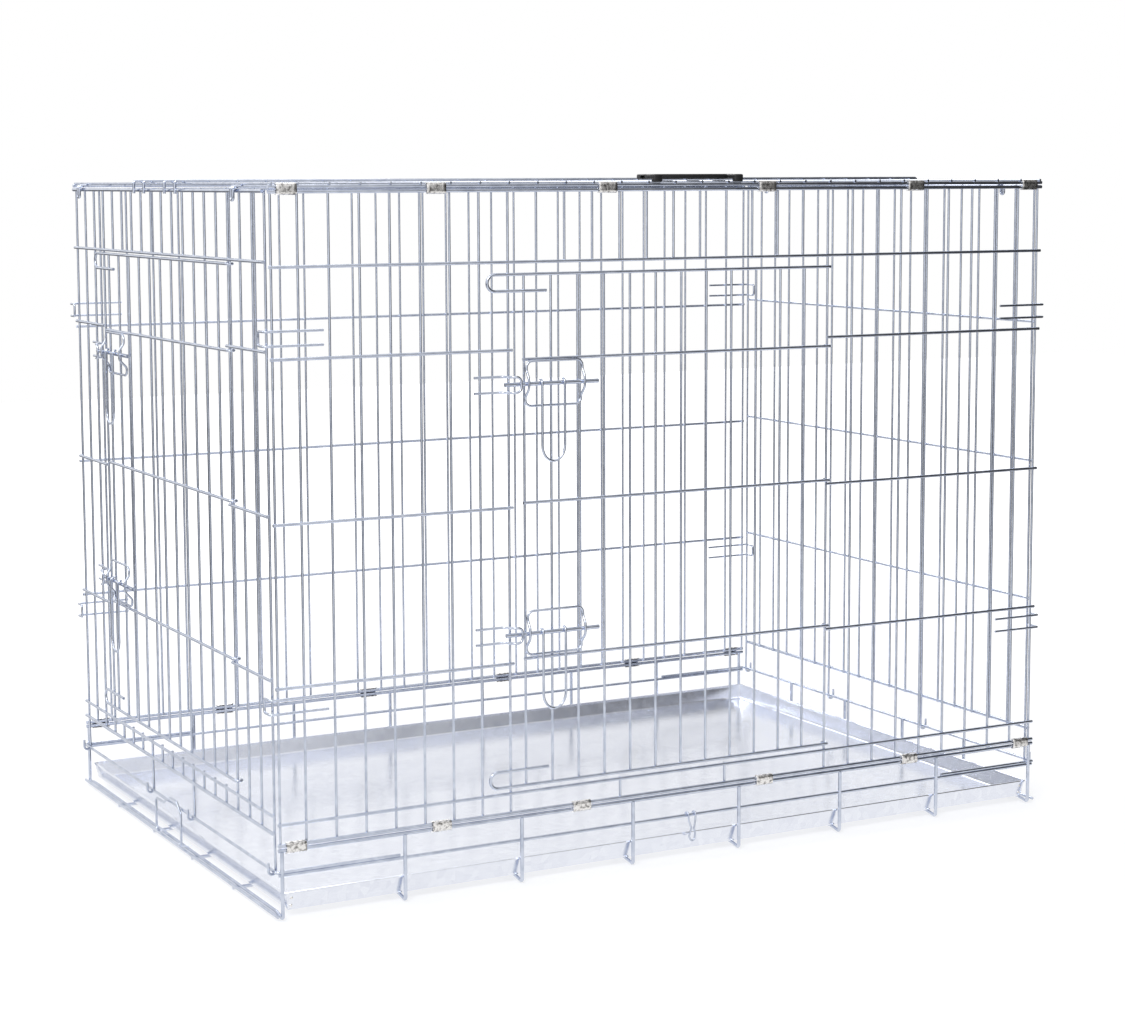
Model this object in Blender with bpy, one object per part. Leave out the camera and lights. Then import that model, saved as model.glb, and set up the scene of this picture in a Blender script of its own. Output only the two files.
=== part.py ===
"""Folding two-door wire dog crate: welded wire panels on a wire base with a sheet steel tray.

The long side with the wide door faces -Y and the end with the small door faces -X. The origin
lies on the floor, under the middle of the crate. Sizes are in metres.
"""
import math

import bmesh
import bpy
from mathutils import Matrix, Vector

# Overall size of the crate as it stands
LENGTH = 1.070
WIDTH = 0.710
HEIGHT = 0.820

# Wire radii. Bars lie outside the upright wires. They pass the thin uprights with a hair gap and
# bite into the stouter frame uprights, where the weld is.
WIRE = 0.0015
BAR = 0.0019
WELD = 0.0004
HAIR = 0.0003
FRAME = WIRE + WELD + HAIR
RAIL = BAR + WELD + HAIR
LAYER = WIRE + BAR + HAIR
TIP = 0.0015

# Heights above the floor, at the wires' centre lines. Head bars hang from the crate's top, foot bars
# stand over their rails and the bars between share out the height.
FLANGE_HEIGHT = 0.080
MID_HEIGHT = 0.052
END_RAIL_HEIGHT = 0.098
SIDE_HEAD_DROP = 0.093
SIDE_FOOT_RISE = 0.029
SIDE_BAR_SHARES = (0.764, 0.5425, 0.3201)
END_HEAD_DROP = 0.0875
END_FOOT_RISE = 0.020
END_BAR_SHARES = (0.774, 0.553, 0.3305)

# Upright wires, counted from the left or, on the ends, from the back
SIDE_WIRES = 30
END_WIRES = 19
END_BAY_SHARE = 0.85
FRONT_OPENING = (8, 20)
FRONT_FRAME = (0, 4, 25, 29)
FRONT_SHORT_FEET = (12, 16)
BACK_FRAME = (0, 10, 19, 29)
LEFT_OPENING = (3, 15)
LEFT_FRAME = (0, 1, 17, 18)
LEFT_HOOKS = (0, 7, 11, 18)
RIGHT_FRAME = (0, 6, 12, 18)
RIGHT_HOOKS = (0, 6, 12, 18)
HOOK_TURN = 200

# Where the panels meet at the corners. The end panels fold in past the doors' hinge rings.
CORNER_INSET = 0.006
SIDE_GAP = 0.0006
RING = BAR + WIRE + 2 * HAIR

# Doors. Each level wire stands this far from the panel's bar beside it, from the top down.
FRONT_DOOR_STEPS = (-0.014, -0.011, 0.0045, 0.0045, 0.008)
LEFT_DOOR_STEPS = (-0.005, -0.005, 0.0045, 0.0045, 0.015)
FRONT_DOOR_WIRES = 12
LEFT_DOOR_WIRES = 11
DOOR_EDGE_GAP = 0.020
DOOR_HINGE_GAP = 0.034
DOOR_STOP_REACH = 0.028
DOOR_STOP_DROP = 0.019
DOOR_STOP_RETURN = 0.048

# Latches, measured from the opening's edge wire and up or down from the bolt. The bolts stand off
# the door, below its second level wire and above its fourth.
BOLT = 0.0025
BOLT_STAND = 0.0045
BOLT_TIP_REACH = 0.009
BOLT_LENGTH = 0.122
BOLT_STEPS = (-0.028, 0.030)
GUIDE_WIDTH = 0.073
GUIDE_HALF = 0.026
KEEPER_RISE = 0.009
KEEPER_REACH = 0.0095
KEEPER_BACK = 0.045
KEEPER_STAND = 0.0015
PULL_PLACE = 0.037
PULL_GAP = 0.0295
PULL_DROP = 0.090
PULL_BOW = 0.018

# Brackets that close round the end panels' edges
BRACKET = 0.0015
BRACKET_RISE = 0.016
BRACKET_REACH = 0.070
BRACKET_WRAP = 0.017
BRACKET_STEPS = (0.0148, -0.028)

# Hinge clips
CLIP_LENGTH = 0.024
CLIP_WALL = 0.0009
TOP_CLIP_WIRES = (0.55, 5.5, 11.5, 17.5, 23.5, 28.45)
FRONT_CLIP_WIRES = (0.55, 5.5, 10.5, 17.5, 23.5, 28.45)
BACK_CLIP_WIRES = (0.55, 5.5, 11.5, 17.5, 23.5, 28.45)

# Base: cross wires turn up into the flange, long wires lie under them and stand on the floor
BASE_BAYS = 7
FLOOR_HALF = 0.002
FLOOR_WIRES = 4
RAMP = 0.018
FLOOR_LIFT = 0.0002
CORNER_WRAP = 0.150
CORNER_CUT = 0.004

# Tray of sheet steel
TRAY_WALL = 0.0010
TRAY_HEIGHT = 0.022
TRAY_SIDE_GAP = 0.002
TRAY_END_GAP = 0.010
LUG_WIDTH = 0.005
LUG_WALL = 0.0012
LATCH_HALF = 0.046
LATCH_RISE = 0.040
LATCH_HUMP = 0.012
LATCH_CREST = (0.7, 0.2, 0.4)
LATCH_PIN = 0.009

# Spring clip that holds the tray down at the front
TRAY_CLIP_PLACE = 0.005
TRAY_CLIP = 0.0012
TRAY_CLIP_WIDTH = 0.011
TRAY_CLIP_DROP = 0.026

# Lid
LID_FRAME = (0, 10, 19, 29)
LID_LOOPS = (1, 16)
LID_HOOKS = (7, 8, 10, 11)
LOOP_DROP = 0.016
LOOP_HALF = 0.003
LOOP_TAIL = 0.060
HOOK_DROP = 0.015
HOOK_TOP = 0.003

# Carry handle
HANDLE_CENTRE = 0.013
HANDLE_LENGTH = 0.124
HANDLE_WIDTH = 0.022
HANDLE_THICK = 0.006
HANDLE_REACH = 0.016
LUG_LENGTH = 0.012
LUG_SHARE = 0.9

# Planes that follow from the sizes above: rails and bars lie in them
SIDE_Y = WIDTH / 2 - RAIL
END_X = LENGTH / 2 - RAIL
SIDE_HALF = END_X - CORNER_INSET
END_HALF = SIDE_Y - LAYER - RING - BAR - SIDE_GAP - FRAME
LID_WIRE_HEIGHT = HEIGHT - FRAME
LID_HEIGHT = LID_WIRE_HEIGHT - LAYER
SIDE_TOP = LID_HEIGHT - 2 * RAIL - HAIR
END_TOP = LID_HEIGHT - BAR - HAIR - RAIL
SIDE_FOOT = FLANGE_HEIGHT + 2 * RAIL + HAIR
END_MID_HEIGHT = MID_HEIGHT + 2 * BAR - WELD
CROSS_HEIGHT = 2 * FLOOR_HALF + FRAME - WELD
TRAY_BOTTOM = CROSS_HEIGHT + FRAME + HAIR
SIDE_BARS = [HEIGHT * share for share in SIDE_BAR_SHARES]
SIDE_HEAD = HEIGHT - SIDE_HEAD_DROP
SIDE_FOOT_BAR = FLANGE_HEIGHT + SIDE_FOOT_RISE
END_BARS = [HEIGHT * share for share in END_BAR_SHARES]
END_HEAD = HEIGHT - END_HEAD_DROP
END_FOOT_BAR = END_RAIL_HEIGHT + END_FOOT_RISE

crate = bpy.data.collections.new("dog_crate")


def clear_scene():
    """Start from an empty scene."""
    for old in list(bpy.data.objects):
        bpy.data.objects.remove(old, do_unlink=True)
    bpy.context.scene.collection.children.link(crate)


def material(name, colour, roughness, metallic):
    """A plain Principled material."""
    made = bpy.data.materials.new(name)
    made.use_nodes = True
    shader = made.node_tree.nodes["Principled BSDF"]
    shader.inputs["Base Color"].default_value = (*colour, 1.0)
    shader.inputs["Roughness"].default_value = roughness
    shader.inputs["Metallic"].default_value = metallic
    return made


def mesh_of(source):
    """The evaluated mesh of an object, with the loose caps of a curve welded on."""
    bpy.context.view_layer.update()
    graph = bpy.context.evaluated_depsgraph_get()
    mesh = bpy.data.meshes.new_from_object(source.evaluated_get(graph))
    work = bmesh.new()
    work.from_mesh(mesh)
    bmesh.ops.remove_doubles(work, verts=work.verts, dist=0.000001)
    work.to_mesh(mesh)
    work.free()
    return mesh


def wires(runs, square=False):
    """Straight or bent wires as one object. Each run is a list of points and a radius."""
    scale = math.sqrt(2) if square else 1.0
    curve = bpy.data.curves.new("wire_run", "CURVE")
    curve.dimensions = "3D"
    curve.bevel_depth = WIRE
    curve.bevel_resolution = 0
    curve.use_fill_caps = True
    for points, radius in runs:
        spline = curve.splines.new("POLY")
        spline.points.add(len(points) - 1)
        for slot, place in zip(spline.points, points):
            slot.co = (*place, 1.0)
            slot.radius = scale * radius / WIRE
            slot.tilt = math.pi / 4 if square else 0.0
    source = bpy.data.objects.new("wire_run", curve)
    crate.objects.link(source)
    made = bpy.data.objects.new("wires", mesh_of(source))
    crate.objects.link(made)
    bpy.data.objects.remove(source, do_unlink=True)
    return made


def combine(target, other, operation, solver="EXACT"):
    """Join or cut the target with another object, which is used up."""
    step = target.modifiers.new(operation.lower(), "BOOLEAN")
    step.operation = operation
    step.solver = solver
    step.object = other
    mesh = mesh_of(target)
    target.modifiers.clear()
    target.data = mesh
    bpy.data.objects.remove(other, do_unlink=True)
    return target


def fuse(first, *others, solver="EXACT"):
    """Weld objects into one body."""
    for other in others:
        combine(first, other, "UNION", solver)
    return first


def box(low, high):
    """A box between two corners."""
    size = Vector(high) - Vector(low)
    middle = (Vector(high) + Vector(low)) / 2
    mesh = bpy.data.meshes.new("box")
    work = bmesh.new()
    bmesh.ops.create_cube(work, size=1.0, matrix=Matrix.Translation(middle) @ Matrix.Diagonal((*size, 1)))
    work.to_mesh(mesh)
    work.free()
    made = bpy.data.objects.new("box", mesh)
    crate.objects.link(made)
    return made


def rod(middle, along, radius, length, sides=12):
    """A cylinder about a point, along X or Y."""
    turn = Matrix.Rotation(math.pi / 2, 4, "Y" if along == "X" else "X")
    mesh = bpy.data.meshes.new("rod")
    work = bmesh.new()
    bmesh.ops.create_cone(
        work, cap_ends=True, segments=sides, radius1=radius, radius2=radius, depth=length,
        matrix=Matrix.Translation(middle) @ turn,
    )
    work.to_mesh(mesh)
    work.free()
    made = bpy.data.objects.new("rod", mesh)
    crate.objects.link(made)
    return made


def place(made, name, finish, parent=None, at=(0, 0, 0), turn=0.0):
    """Name a finished piece, colour it and set it on its axis, in its parent's frame."""
    made.name = name
    made.data.name = name
    made.data.materials.clear()
    made.data.materials.append(finish)
    made.parent = parent
    made.location = at
    made.rotation_euler = (0, 0, turn)
    made.data.shade_smooth()
    made.data.set_sharp_from_angle(angle=math.radians(40))
    return made


def arc(centre, radius, start, end, steps, plane="YZ"):
    """Points of an arc in degrees, in a plane of two axes through the centre."""
    first, second = ("XYZ".index(axis) for axis in plane)
    points = []
    for step in range(steps + 1):
        angle = math.radians(start + (end - start) * step / steps)
        point = list(centre)
        point[first] += radius * math.cos(angle)
        point[second] += radius * math.sin(angle)
        points.append(tuple(point))
    return points


def upright_places(half, count, share):
    """Places of upright wires between two edges, with narrower bays at both ends."""
    pitch = 2 * half / (count - 3 + 2 * share)
    inner = [-half + pitch * (share + step) for step in range(count - 2)]
    return [-half, *inner, half]


SIDE_PLACES = upright_places(SIDE_HALF, SIDE_WIRES, END_BAY_SHARE)
END_PLACES = upright_places(END_HALF, END_WIRES, 1.0)


def between(places, index):
    """The place at a wire number, which may lie between two wires."""
    low = min(int(index), len(places) - 2)
    return places[low] + (places[low + 1] - places[low]) * (index - low)


def upright(u, low, high, radius=WIRE, depth=LAYER):
    """A run for an upright wire of a panel."""
    return [(u, depth, low), (u, depth, high)], radius


def bar(low, high, z, radius=BAR, depth=0.0):
    """A run for a level wire of a panel."""
    return [(low, depth, z), (high, depth, z)], radius


def frame_radius(index, framed):
    """Frame uprights are stouter, so that the bars weld to them."""
    return FRAME if index in framed else WIRE


def hooked_upright(u, high, radius):
    """An upright that runs down past its rail and curls round the hinge wire at the origin."""
    reach = radius + BAR + 2 * HAIR
    curl = arc((u, 0, 0), reach, 0, -HOOK_TURN, 7)
    return [(u, LAYER, high), (u, LAYER, reach), *curl], radius


def front_panel(finish):
    """Long side with the wide door opening. Its hinge is the base's front flange rail."""
    foot = SIDE_FOOT - FLANGE_HEIGHT
    top = SIDE_TOP - FLANGE_HEIGHT
    head_bar = SIDE_HEAD - FLANGE_HEIGHT
    foot_bar = SIDE_FOOT_BAR - FLANGE_HEIGHT
    first, last = FRONT_OPENING
    ups = []
    for index, u in enumerate(SIDE_PLACES):
        radius = frame_radius(index, FRONT_FRAME)
        if first < index < last:
            ups.append(upright(u, head_bar - BAR, top + TIP))
            if index in FRONT_SHORT_FEET:
                ups.append(upright(u, foot - TIP, foot_bar + BAR))
        else:
            ups.append(upright(u, foot - TIP, top + TIP, radius))
    edge = SIDE_HALF + FRAME + TIP
    bars = [bar(-edge, edge, foot, RAIL), bar(-edge, edge, top, RAIL)]
    bars += [bar(-edge, edge, head_bar), bar(-edge, edge, foot_bar)]
    for height in SIDE_BARS:
        bars.append(bar(-edge, SIDE_PLACES[first] + FRAME + TIP, height - FLANGE_HEIGHT))
        bars.append(bar(SIDE_PLACES[last] - TIP, edge, height - FLANGE_HEIGHT))
    made = fuse(wires(ups), wires(bars))
    return place(made, "front_panel", finish, at=(0, -SIDE_Y, FLANGE_HEIGHT))


def back_panel(finish):
    """Plain long side on the base's back flange rail."""
    foot = SIDE_FOOT - FLANGE_HEIGHT
    top = SIDE_TOP - FLANGE_HEIGHT
    ups = []
    for index, u in enumerate(SIDE_PLACES):
        ups.append(upright(u, foot - TIP, top + TIP, frame_radius(index, BACK_FRAME)))
    edge = SIDE_HALF + FRAME + TIP
    bars = [bar(-edge, edge, foot, RAIL), bar(-edge, edge, top, RAIL)]
    bars += [bar(-edge, edge, height - FLANGE_HEIGHT) for height in SIDE_BARS]
    made = fuse(wires(ups), wires(bars))
    return place(made, "back_panel", finish, at=(0, SIDE_Y, FLANGE_HEIGHT), turn=math.pi)


def left_panel(finish):
    """End with the small door opening. It hinges on the base's end wire by four long uprights."""
    foot = END_RAIL_HEIGHT - END_MID_HEIGHT
    top = END_TOP - END_MID_HEIGHT
    head_bar = END_HEAD - END_MID_HEIGHT
    foot_bar = END_FOOT_BAR - END_MID_HEIGHT
    first, last = LEFT_OPENING
    ups = []
    for index, u in enumerate(END_PLACES):
        radius = frame_radius(index, LEFT_FRAME)
        if first < index < last:
            ups.append(upright(u, head_bar - BAR, top + TIP))
            if index in LEFT_HOOKS:
                ups.append(hooked_upright(u, foot_bar + BAR, WIRE))
            else:
                ups.append(upright(u, foot - TIP, foot_bar + BAR))
        elif index in LEFT_HOOKS:
            ups.append(hooked_upright(u, top + TIP, radius))
        else:
            ups.append(upright(u, foot - TIP, top + TIP, radius))
    edge = END_HALF + FRAME
    bars = [bar(-edge, edge, foot, RAIL), bar(-edge, edge, top, RAIL)]
    bars += [bar(-edge, edge, head_bar), bar(-edge, edge, foot_bar)]
    for height in END_BARS:
        bars.append(bar(-edge, END_PLACES[first] + FRAME + TIP, height - END_MID_HEIGHT))
        bars.append(bar(END_PLACES[last] - TIP, edge, height - END_MID_HEIGHT))
    made = fuse(wires(ups), wires(bars))
    return place(made, "left_panel", finish, at=(-END_X, 0, END_MID_HEIGHT), turn=-math.pi / 2)


def right_panel(finish):
    """Plain end on the base's other end wire."""
    foot = END_RAIL_HEIGHT - END_MID_HEIGHT
    top = END_TOP - END_MID_HEIGHT
    ups = []
    for index, u in enumerate(END_PLACES):
        radius = frame_radius(index, RIGHT_FRAME)
        if index in RIGHT_HOOKS:
            ups.append(hooked_upright(u, top + TIP, radius))
        else:
            ups.append(upright(u, foot - TIP, top + TIP, radius))
    edge = END_HALF + FRAME
    bars = [bar(-edge, edge, foot, RAIL), bar(-edge, edge, top, RAIL)]
    bars += [bar(-edge, edge, height - END_MID_HEIGHT) for height in END_BARS]
    made = fuse(wires(ups), wires(bars))
    return place(made, "right_panel", finish, at=(END_X, 0, END_MID_HEIGHT), turn=math.pi / 2)


def hinge_ring(z):
    """Points that carry a door's level wire round its hinge wire, which runs through the origin."""
    return arc((0, 0, z), RING, -90, 90, 5, "XY")


def door(name, panel, opening, places, levels, count, finish):
    """A door whose level wires curl round the hinge wire and pass the opening's other edge."""
    hinge = places[opening[1]]
    edge = places[opening[0]] - hinge
    head = levels[0]
    foot = levels[-1]
    free = edge + DOOR_EDGE_GAP
    step = (-DOOR_HINGE_GAP - free) / (count - 1)
    ups = []
    for index in range(count):
        ups.append(upright(free + step * index, foot - TIP, head + TIP, WIRE, -WELD - HAIR))
    level_runs = []
    for z in levels[1:-1]:
        straight = [(free - WIRE - TIP, -LAYER, z), (-DOOR_HINGE_GAP / 2, -LAYER, z)]
        level_runs.append(([*straight, *hinge_ring(z)], BAR))
    bend = DOOR_STOP_DROP / 2
    for z, side in ((head, -1), (foot, 1)):
        middle = (edge - DOOR_STOP_REACH + bend, -LAYER, z + side * bend)
        turn = arc(middle, bend, -side * 90, -side * 270, 6, "XZ")
        start = [*reversed(hinge_ring(z)), (-DOOR_HINGE_GAP / 2, -LAYER, z)]
        tail = (edge + DOOR_STOP_RETURN, -LAYER, z + side * DOOR_STOP_DROP)
        level_runs.append(([*start, *turn, tail], BAR))
    made = fuse(wires(ups), wires(level_runs))
    return place(made, name, finish, panel, at=(hinge, LAYER, 0))


def latch(tag, panel, leaf, opening, places, z, finish):
    """Bolt, guide and pull on the door, and the keeper on the panel beside it."""
    hinge = places[opening[1]]
    edge = places[opening[0]]
    start = edge - hinge
    face = -WELD - HAIR - WIRE
    centre = face - BOLT_STAND - BOLT
    outer = centre - BOLT - HAIR - WIRE
    head_depth = -LAYER - BAR - HAIR - WIRE
    foot_depth = face - HAIR - WIRE
    left = start + DOOR_EDGE_GAP
    right = left + GUIDE_WIDTH
    head = z + GUIDE_HALF
    foot = z - GUIDE_HALF

    def guide_side(u):
        return [
            (u, head_depth, head), (u, head_depth, z + GUIDE_HALF / 2), (u, outer, z + BOLT),
            (u, outer, z - BOLT), (u, foot_depth, z - GUIDE_HALF / 2), (u, foot_depth, foot),
        ]

    # The guide's wire starts and ends beside the middle of its head, with a gap between its tips
    middle = (left + right) / 2
    first_tip = (middle - WIRE, head_depth, head)
    last_tip = (middle + 2 * WIRE, head_depth, head)
    guide = wires([([first_tip, *guide_side(left), *reversed(guide_side(right)), last_tip], WIRE)])
    place(guide, "latch_guide_" + tag, finish, leaf)

    bolt = rod((BOLT_LENGTH / 2, 0, 0), "X", BOLT, BOLT_LENGTH, 8)
    place(bolt, "latch_bolt_" + tag, finish, leaf, at=(start - BOLT_TIP_REACH, centre, z))

    reach = BOLT + WIRE + 2 * HAIR
    near_leg = PULL_PLACE + BOLT_TIP_REACH
    far_leg = near_leg + PULL_GAP
    first = [(near_leg, y, h) for x, y, h in arc((0, 0, 0), reach, 85, 180, 3)]
    second = [(far_leg, y, h) for x, y, h in arc((0, 0, 0), reach, 180, 85, 3)]
    bow = []
    for u, y, h in arc(((near_leg + far_leg) / 2, -reach, 0), PULL_GAP / 2, 180, 360, 6, "XZ"):
        bow.append((u, y, PULL_BOW - PULL_DROP + h * PULL_BOW / (PULL_GAP / 2)))
    pull = wires([([*first, *bow, *second], WIRE)])
    place(pull, "latch_pull_" + tag, finish, bolt)

    flat = LAYER - 2 * WIRE - HAIR
    stand = LAYER + outer - KEEPER_STAND
    legs = []
    for side in (1, -1):
        level = z + side * KEEPER_RISE
        legs.append([
            (edge - KEEPER_BACK, flat, level), (edge - KEEPER_REACH, flat, level),
            (edge, stand, level), (edge + KEEPER_REACH, stand, level),
        ])
    keeper = wires([([*legs[0], *reversed(legs[1])], WIRE)])
    place(keeper, "latch_keeper_" + tag, finish, panel)


def brackets(panel, tag, finish):
    """Hairpin wires on a long panel that close round both end panels' edges."""
    depth = -BAR - HAIR - BRACKET
    past = END_X + RAIL + SIDE_GAP + BRACKET
    lows = (SIDE_BARS[0] + BRACKET_STEPS[0], SIDE_BARS[-1] + BRACKET_STEPS[1])
    for side, side_tag in ((-1, "left"), (1, "right")):
        for level, level_tag in zip(lows, ("upper", "lower")):
            low = level - FLANGE_HEIGHT
            legs = []
            for z in (low + BRACKET_RISE, low):
                legs.append([
                    (side * (past - BRACKET_REACH), LAYER - WIRE - HAIR - BRACKET, z),
                    (side * SIDE_HALF, LAYER - FRAME - HAIR - BRACKET, z),
                    (side * past, LAYER - FRAME - HAIR - BRACKET, z),
                    (side * past, BRACKET_WRAP, z),
                ])
            made = wires([([*legs[0], *reversed(legs[1])], BRACKET)])
            place(made, f"corner_bracket_{tag}_{side_tag}_{level_tag}", finish, panel)


def clip(name, parent, at, finish):
    """Sheet metal sleeve, open along its inner side, round two rails one above the other."""
    inner = RAIL + HAIR
    outer = inner + CLIP_WALL
    drop = 2 * RAIL + HAIR
    outline = []
    for radius, direction in ((outer, 1), (inner, -1)):
        upper = arc((0, 0, 0), radius, 60, 180, 4)
        lower = arc((0, 0, -drop), radius, 180, 300, 4)
        points = upper + lower
        outline += points if direction == 1 else points[::-1]
    curve = bpy.data.curves.new("clip", "CURVE")
    curve.dimensions = "2D"
    curve.fill_mode = "BOTH"
    curve.extrude = CLIP_LENGTH / 2
    spline = curve.splines.new("POLY")
    spline.points.add(len(outline) - 1)
    for slot, point in zip(spline.points, outline):
        slot.co = (point[1], point[2], 0, 1.0)
    spline.use_cyclic_u = True
    source = bpy.data.objects.new("clip", curve)
    crate.objects.link(source)
    mesh = mesh_of(source)
    bpy.data.objects.remove(source, do_unlink=True)
    mesh.transform(Matrix(((0, 0, 1, 0), (1, 0, 0, 0), (0, 1, 0, 0), (0, 0, 0, 1))))
    made = bpy.data.objects.new(name, mesh)
    crate.objects.link(made)
    return place(made, name, finish, parent, at=at)


def base_frame(finish):
    """Wire base: long floor wires, cross wires turned up at both ends, flange and mid wires."""
    edge = SIDE_HALF + FRAME + TIP
    leg = SIDE_Y - LAYER
    low = FRAME + FLOOR_LIFT
    # The last cross wire stands clear of the uprights in the right end
    last = END_X - LAYER - 2 * FRAME - HAIR
    crossers = []
    for bay in range(BASE_BAYS + 1):
        x = -SIDE_HALF + (last + SIDE_HALF) * bay / BASE_BAYS
        half = [(x, -leg, FLANGE_HEIGHT + TIP), (x, -leg, low), (x, -leg + RAMP, CROSS_HEIGHT)]
        mirrored = [(x, -y, z) for x, y, z in reversed(half)]
        crossers.append(([*half, *mirrored], FRAME))
    floor_places = [SIDE_Y * (2 * (step + 1) / (FLOOR_WIRES + 1) - 1) for step in range(FLOOR_WIRES)]
    for y in floor_places:
        crossers.append(([(END_X - LAYER, y, FLOOR_HALF), (END_X - LAYER, y, END_MID_HEIGHT + TIP)], FRAME))
    reach = END_X + TIP
    side = SIDE_Y - 2 * WELD
    floor = []
    for y in (-side, *floor_places, side):
        floor.append(([(-reach, y, FLOOR_HALF), (reach, y, FLOOR_HALF)], FLOOR_HALF))
    levels = []
    for y in (-SIDE_Y, SIDE_Y):
        levels.append(([(-edge, y, FLANGE_HEIGHT), (edge, y, FLANGE_HEIGHT)], RAIL))
        levels.append(([(-edge, y, MID_HEIGHT), (edge, y, MID_HEIGHT)], BAR))
    floor_end = 2 * FLOOR_HALF + BAR - WELD
    for x in (-END_X, END_X):
        levels.append(([(x, -SIDE_Y - TIP, floor_end), (x, SIDE_Y + TIP, floor_end)], BAR))
    wraps = []
    for side in (-1, 1):
        z = END_MID_HEIGHT
        quarter = [
            (side * (END_X - CORNER_WRAP), -SIDE_Y, z), (side * (END_X - CORNER_CUT), -SIDE_Y, z),
            (side * END_X, -SIDE_Y + CORNER_CUT, z),
        ]
        wraps.append(([*quarter, *[(x, -y, z) for x, y, z in reversed(quarter)]], BAR))
    # The exact solver leaves open edges where the cross wires bend, so these welds use the other one
    made = fuse(wires(crossers), wires(floor, square=True), wires(levels), wires(wraps), solver="MANIFOLD")
    return place(made, "base_frame", finish)


def tray(base, finish):
    """Folded sheet tray with two eyes at its front lip for the tray latch."""
    half_y = SIDE_Y - LAYER - FRAME - TRAY_SIDE_GAP
    low_x = -END_X + TRAY_END_GAP
    high_x = END_X - LAYER - FRAME - TRAY_SIDE_GAP
    top = TRAY_BOTTOM + TRAY_HEIGHT
    shell = box((low_x, -half_y, TRAY_BOTTOM), (high_x, half_y, top))
    hollow = box(
        (low_x + TRAY_WALL, -half_y + TRAY_WALL, TRAY_BOTTOM + TRAY_WALL),
        (high_x - TRAY_WALL, half_y - TRAY_WALL, top + TRAY_WALL),
    )
    combine(shell, hollow, "DIFFERENCE")
    axis_x, axis_z = latch_axis()
    for side in (-1, 1):
        y = side * (LATCH_HALF - WIRE - HAIR - LUG_WIDTH / 2)
        ring = rod((axis_x, y, axis_z), "Y", WIRE + HAIR + LUG_WALL, LUG_WIDTH)
        low_z = axis_z - WIRE - HAIR - LUG_WALL
        strap_end = (low_x + TRAY_WALL / 2, y + LUG_WIDTH / 2, low_z + LUG_WALL)
        strap = box((axis_x, y - LUG_WIDTH / 2, low_z), strap_end)
        bore = rod((axis_x, y, axis_z), "Y", WIRE + HAIR, 2 * LUG_WIDTH)
        eye = combine(fuse(ring, strap), bore, "DIFFERENCE")
        fuse(shell, eye)
    return place(shell, "tray", finish, base)


def latch_axis():
    """Where the tray latch turns, outside the base's end wires."""
    x = -END_X - BAR - 2 * HAIR - WIRE
    z = TRAY_BOTTOM + 2 * HAIR + WIRE + LUG_WALL
    return x, z


def tray_latch(tray_body, finish):
    """Wire bail in front of the tray's end, its top bent over the base's end wire."""
    x, z = latch_axis()
    rise = LATCH_RISE
    crest = rise + LATCH_HUMP
    pin = LATCH_HALF - LATCH_PIN
    points = [
        (0, -pin, 0), (0, -LATCH_HALF, 0), (0, -LATCH_HALF, rise), (0, -LATCH_CREST[0] * LATCH_HALF, crest),
        (0, -LATCH_CREST[1] * LATCH_HALF, crest), (0, LATCH_CREST[2] * LATCH_HALF, rise),
        (0, LATCH_HALF, rise), (0, LATCH_HALF, 0), (0, pin, 0),
    ]
    made = wires([(points, WIRE)])
    return place(made, "tray_latch", finish, tray_body, at=(x, 0, z))


def tray_clip(base, finish):
    """Spring wire on the front mid wire, whose foot presses on the tray's rim."""
    turn = BAR + TRAY_CLIP + 2 * HAIR
    half = TRAY_CLIP_WIDTH / 2
    left = [(-half, p[1], p[2]) for p in arc((0, 0, 0), turn, -30, 200, 6)]
    right = [(half, p[1], p[2]) for p in reversed(left)]
    foot_z = -TRAY_CLIP_DROP
    bow = arc((0, -turn, foot_z), half, 180, 360, 4, "XZ")
    made = wires([([*left, *bow, *right], TRAY_CLIP)])
    return place(made, "tray_clip", finish, base, at=(TRAY_CLIP_PLACE, -SIDE_Y, MID_HEIGHT))


def lid(front, finish):
    """Top panel. It turns on the front panel's top rail, which runs through its origin."""
    rise = LID_HEIGHT - SIDE_TOP
    wire_rise = LID_WIRE_HEIGHT - SIDE_TOP
    far = 2 * SIDE_Y
    ups = []
    for index, u in enumerate(SIDE_PLACES):
        ups.append(([(u, -RAIL, wire_rise), (u, far + RAIL, wire_rise)], frame_radius(index, LID_FRAME)))
    edge = SIDE_HALF + FRAME + TIP
    rails = [bar(-edge, edge, rise, RAIL), bar(-edge, edge, rise, RAIL, far)]
    out = END_X + RAIL + SIDE_GAP + BAR
    over = wire_rise + LAYER
    for index in LID_HOOKS:
        y = SIDE_Y - END_PLACES[index]
        end = [(out - HOOK_TOP, y, over), (out, y, over - HOOK_TOP), (out, y, over - HOOK_DROP)]
        start = [(-x, y, z) for x, y, z in reversed(end)]
        rails.append(([*start, *end], BAR))
    for index in LID_LOOPS:
        y = SIDE_Y - END_PLACES[index]
        for side in (-1, 1):
            beside = y - LOOP_HALF
            near = [
                (side * (out - LOOP_TAIL), beside, rise), (side * (out - HOOK_TOP), beside, rise),
                (side * out, beside, rise - HOOK_TOP), (side * out, beside, rise - LOOP_DROP),
            ]
            away = [(x, 2 * y - b, z) for x, b, z in reversed(near)]
            rails.append(([*near, *away], BAR))
    made = fuse(wires(ups), wires(rails))
    return place(made, "top_panel", finish, front, at=(0, 0, SIDE_TOP - FLANGE_HEIGHT))


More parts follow.
